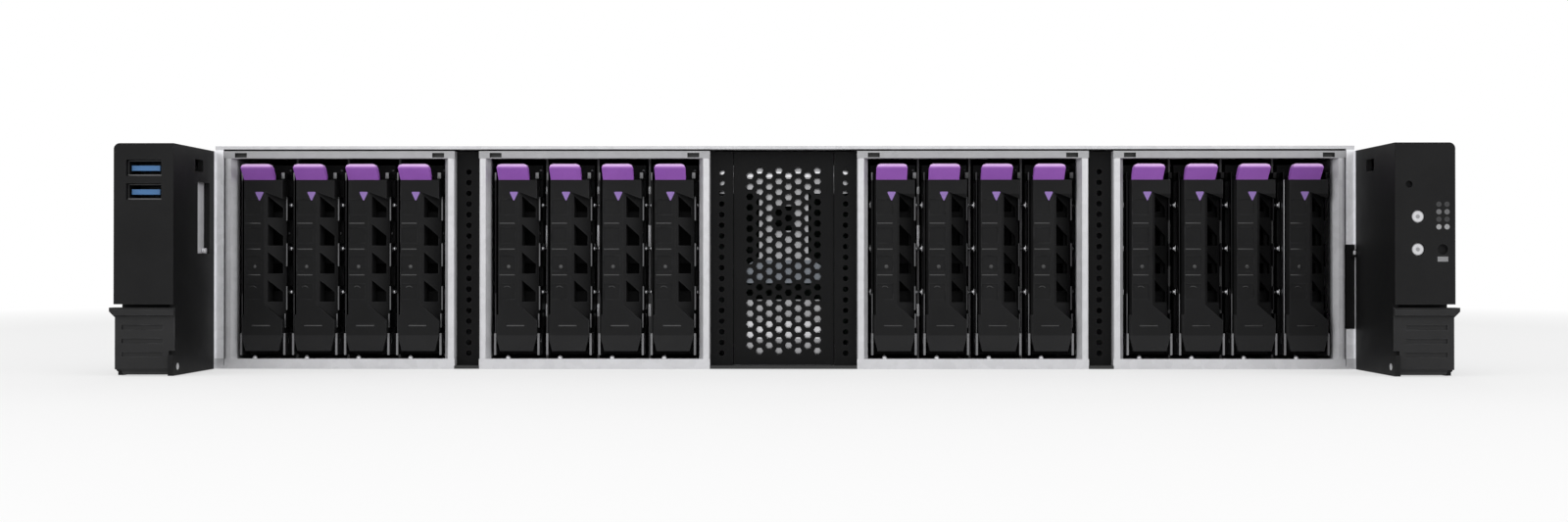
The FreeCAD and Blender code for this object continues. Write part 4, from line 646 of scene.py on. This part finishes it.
# fan behind the guard of each supply: leaning blades round a hub, rings and two straight wires in front
supplyFan = dict(x=199.35, floor=703.15, face=706.3, hub=6.2, hubRise=1.9, hubRim=0.4, hubSunk=0.05, tip=14.8,
                 blades=7, lean=0.5, bladeAngle=(0.0, 0.52, 0.55, 0.04), bladeHeight=(0.3, 1.7, 1.3, -0.05),
                 rings=(4.0, 8.0, 12.0, 15.6), wire=0.5, reach=16.3, below=0.6)


# blade: at each radius a four-sided section, turned further round as the radius grows
def fanBlades(x, deep, z, look):
    radius = np.linspace(look["hub"] - 0.6, look["tip"], 6)[None, :, None]
    start = np.arange(look["blades"])[:, None, None] * 2 * np.pi / look["blades"]
    angle = start + look["lean"] * (radius - look["hub"]) / look["tip"] + np.array(look["bladeAngle"])
    height = np.broadcast_to(frontY + deep + np.array(look["bladeHeight"]), angle.shape)
    points = np.stack([x - radius * np.cos(angle), height, z + radius * np.sin(angle)], axis=-1)
    quads, caps = ringFaces(radius.size, 4, look["blades"])
    return points.reshape(-1, 3), quads, caps


fanX, faceY = supplyFan["x"], frontY + supplyFan["face"]
for label, z in zip(("psu_lower", "psu_upper"), supplyMid):
    guard = [wireRing(radius, supplyFan["wire"], (fanX, faceY, z), "rear") for radius in supplyFan["rings"]]
    across = np.linspace(-supplyFan["reach"], supplyFan["reach"], 5)
    for turn in (0.25 * np.pi, 0.75 * np.pi):
        run = np.stack([fanX + across * np.cos(turn), np.full(len(across), faceY - supplyFan["below"]),
                        z + across * np.sin(turn)], axis=-1)
        guard.append(wire(run, supplyFan["wire"]))
    piece(f"{label}_guard", guard, guardFinish, label)
    hubSpot = (fanX, frontY + supplyFan["floor"] - supplyFan["hubSunk"], z)
    hub = puck(supplyFan["hub"], supplyFan["hubRise"], supplyFan["hubRim"], hubSpot, "rear", 28)
    piece(f"{label}_fan", [hub, fanBlades(fanX, supplyFan["floor"], z, supplyFan)], chipFinish, label)

# rear sockets: eight sprung contacts in each network mouth, pin field and two posts on the video socket
rearSocket = dict(netX=(-204.45, -185.45, -160.45), netMid=8.0, base=9.3, contacts=8, pitch=1.1, contactWire=0.2,
                  contactPath=((705.4, 11.35), (703.0, 10.9), (699.0, 8.6), (695.0, 7.4)),
                  videoX=-94.45, pinMid=15.5, pinPitch=2.6, pinRows=(4.2, 6.3, 8.4), pin=(0.5, 0.1, 0.03),
                  pinDeep=712.13, postX=(2.9, 28.1), postRise=6.3, postDeep=706.73, post=(2.3, 4.6, 0.3),
                  postHead=(1.1, 0.9), headLift=4.55)
goldFinish = makeFinish("goldFinish", dict(fixingSteel, dark=(0.62, 0.42, 0.14), light=(0.82, 0.60, 0.24)))
contactStep = (np.arange(rearSocket["contacts"]) - 3.5) * rearSocket["pitch"]
contacts = []
for left in rearSocket["netX"]:
    for x in left + rearSocket["netMid"] + contactStep:
        run = [(x, frontY + deep, rearSocket["base"] + up) for deep, up in rearSocket["contactPath"]]
        contacts.append(wire(run, rearSocket["contactWire"], 6, (1, 0, 0)))
piece("network_contacts", contacts, goldFinish, "chassis")
pinX, pinZ = np.meshgrid(rearSocket["videoX"] + rearSocket["pinMid"] + (np.arange(5) - 2) * rearSocket["pinPitch"],
                         rearSocket["base"] + np.array(rearSocket["pinRows"]))
pinSpots = np.stack([pinX.ravel(), np.full(pinX.size, frontY + rearSocket["pinDeep"]), pinZ.ravel()], axis=-1)
piece("video_pins", [puck(*rearSocket["pin"], pinSpots, "rear", 10)], chipFinish, "chassis")
postSpots = np.array([(rearSocket["videoX"] + u, frontY + rearSocket["postDeep"],
                       rearSocket["base"] + rearSocket["postRise"]) for u in rearSocket["postX"]])
headSpots = postSpots + (0, rearSocket["headLift"], 0)
piece("video_posts", [puck(*rearSocket["post"], postSpots, "rear", 6),
                      dome(*rearSocket["postHead"], headSpots, "rear", 12)],
      guardFinish, "chassis")

# small parts on the system board: chokes beside the processors, chips and little capacitors behind the memory
boardDetail = dict(top=9.28, left=-200.0, right=126.0, chokeDeep=(258.0, 428.0), chokes=22, chipDeep=(446.0, 536.0),
                   columns=14, rows=5, stray=3.0, seed=5, choke=(8.4, 8.4, 0.8, 5.0, 0.6),
                   bigChip=(12.0, 9.0, 0.5, 1.4, 0.2), smallChip=(6.0, 5.0, 0.3, 1.2, 0.2), can=(2.6, 6.2, 0.5),
                   flatCap=(3.2, 1.8, 0.3, 1.1, 0.2))
random = np.random.default_rng(boardDetail["seed"])
chokeX = np.linspace(boardDetail["left"], boardDetail["right"], boardDetail["chokes"])
chokeSpots = [(x, frontY + deep, boardDetail["top"]) for deep in boardDetail["chokeDeep"] for x in chokeX]
cellX, cellDeep = np.meshgrid(np.linspace(boardDetail["left"], boardDetail["right"], boardDetail["columns"]),
                              np.linspace(*boardDetail["chipDeep"], boardDetail["rows"]))
jitter = random.uniform(-boardDetail["stray"], boardDetail["stray"], (2, cellX.size))
spotX, spotY = cellX.ravel() + jitter[0], cellDeep.ravel() + jitter[1] + frontY
spots = np.stack([spotX, spotY, np.full(spotX.size, boardDetail["top"])], axis=-1)
kind = random.integers(0, 4, spotX.size)
piece("board_chips", [slab(*boardDetail["choke"], chokeSpots, "top"),
                      slab(*boardDetail["bigChip"], spots[kind == 0], "top"),
                      slab(*boardDetail["smallChip"], spots[kind == 1], "top")], chipFinish, "chassis")
piece("board_cans", [puck(*boardDetail["can"], spots[kind == 2], "top"),
                     slab(*boardDetail["flatCap"], spots[kind == 3], "top")], guardFinish, "chassis")
print("rear sockets, supply fans and board parts done")

# camera at the photo's place, focal length and shift in photo pixels
shot = dict(place=(0.0055, -0.9697, 0.03887), turn=0.00726, tilt=0.0044, focal=1650.54, shift=-2.08, width=1600.0,
            sensor=36.0, near=0.01)
camera = bpy.data.objects.new("camera", bpy.data.cameras.new("camera"))
bpy.context.scene.collection.objects.link(camera)
camera.location = shot["place"]
camera.rotation_euler = (math.pi / 2 + shot["tilt"], 0, shot["turn"])
camera.data.sensor_fit = "HORIZONTAL"
camera.data.sensor_width = shot["sensor"]
camera.data.lens = shot["sensor"] * shot["focal"] / shot["width"]
camera.data.shift_x = shot["shift"] / shot["width"]
camera.data.clip_start = shot["near"]
bpy.context.scene.camera = camera


# 1 for rays that reach the picture straight, from a mirror or through glass
def seenRays(tree):
    path = tree.nodes.new("ShaderNodeLightPath").outputs
    bent = calc(tree, "MAXIMUM", path["Is Glossy Ray"], path["Is Transmission Ray"])
    return calc(tree, "MAXIMUM", path["Is Camera Ray"], bent)


# floor: a flat grid, pale, keeps the shadow near the object and fades to white away from it
floorLook = dict(size=8.0, lines=9, drop=0.0002, colour=(0.86, 0.86, 0.86), rough=0.9, fadeFrom=0.5, fadeTo=0.9,
                 whiteNear=0.55)
lines = floorLook["lines"]
span = np.linspace(-floorLook["size"], floorLook["size"], lines)
gridX, gridY = np.meshgrid(span, span, indexing="ij")
floorPoints = np.stack([gridX, gridY, np.full_like(gridX, -floorLook["drop"])], axis=-1).reshape(-1, 3)
i, j = np.meshgrid(np.arange(lines - 1), np.arange(lines - 1), indexing="ij")
cell = i * lines + j
floorFaces = np.stack([cell, cell + lines, cell + lines + 1, cell + 1], axis=-1).reshape(-1, 4)
floorMesh = bpy.data.meshes.new("floor")
floorMesh.from_pydata(floorPoints.tolist(), [], floorFaces.tolist())
floor = bpy.data.objects.new("floor", floorMesh)
bpy.context.scene.collection.objects.link(floor)
floorFinish = bpy.data.materials.new("paleFloor")
floorFinish.use_nodes = True
tree = floorFinish.node_tree
bsdf = tree.nodes["Principled BSDF"]
bsdf.inputs["Base Color"].default_value = rgb(floorLook["colour"])
bsdf.inputs["Roughness"].default_value = floorLook["rough"]
bsdf.inputs["Specular IOR Level"].default_value = 0.0
white = tree.nodes.new("ShaderNodeEmission")
coords = tree.nodes.new("ShaderNodeTexCoord").outputs["Object"]
length = vectorCalc(tree, "LENGTH", coords)["Value"]
away = spread(tree, length, floorLook["fadeFrom"], floorLook["fadeTo"], floorLook["whiteNear"], 1.0)
mixer = tree.nodes.new("ShaderNodeMixShader")
tree.links.new(calc(tree, "MULTIPLY", seenRays(tree), away), mixer.inputs[0])
tree.links.new(bsdf.outputs[0], mixer.inputs[1])
tree.links.new(white.outputs[0], mixer.inputs[2])
tree.links.new(mixer.outputs[0], tree.nodes["Material Output"].inputs["Surface"])
floorMesh.materials.append(floorFinish)

# light: soft sky, one broad lamp before and above the front, one from each side, a weak one behind
sky = dict(colour=(1, 1, 1), light=0.5, seen=1.0)
lamps = dict(overhead=dict(place=(0.0, -1.7, 1.1), aim=(0, -0.3, 0.04), size=2.1, power=13.6),
             leftSide=dict(place=(-1.3, -1.0, 0.6), aim=(0, -0.3, 0.04), size=1.0, power=6.5),
             rightSide=dict(place=(1.3, -1.0, 0.6), aim=(0, -0.3, 0.04), size=1.0, power=6.5),
             behind=dict(place=(0.0, 1.4, 1.2), aim=(0, 0.2, 0.05), size=1.4, power=5.0))
world = bpy.data.worlds.new("studio")
bpy.context.scene.world = world
world.use_nodes = True
tree = world.node_tree
back = tree.nodes["Background"]
tree.links.new(spread(tree, seenRays(tree), 0.0, 1.0, sky["light"], sky["seen"]), back.inputs["Strength"])
back.inputs["Color"].default_value = rgb(sky["colour"])
for label, lamp in lamps.items():
    light = bpy.data.objects.new(label, bpy.data.lights.new(label, "AREA"))
    light.data.size = lamp["size"]
    light.data.energy = lamp["power"]
    light.location = lamp["place"]
    aim = np.array(lamp["aim"]) - np.array(lamp["place"])
    flat = math.hypot(aim[0], aim[1])
    light.rotation_euler = (math.atan2(flat, -aim[2]), 0, math.atan2(aim[1], aim[0]) - math.pi / 2)
    bpy.context.scene.collection.objects.link(light)
bpy.context.scene.view_settings.view_transform = "Standard"
print("camera, floor and lights done")
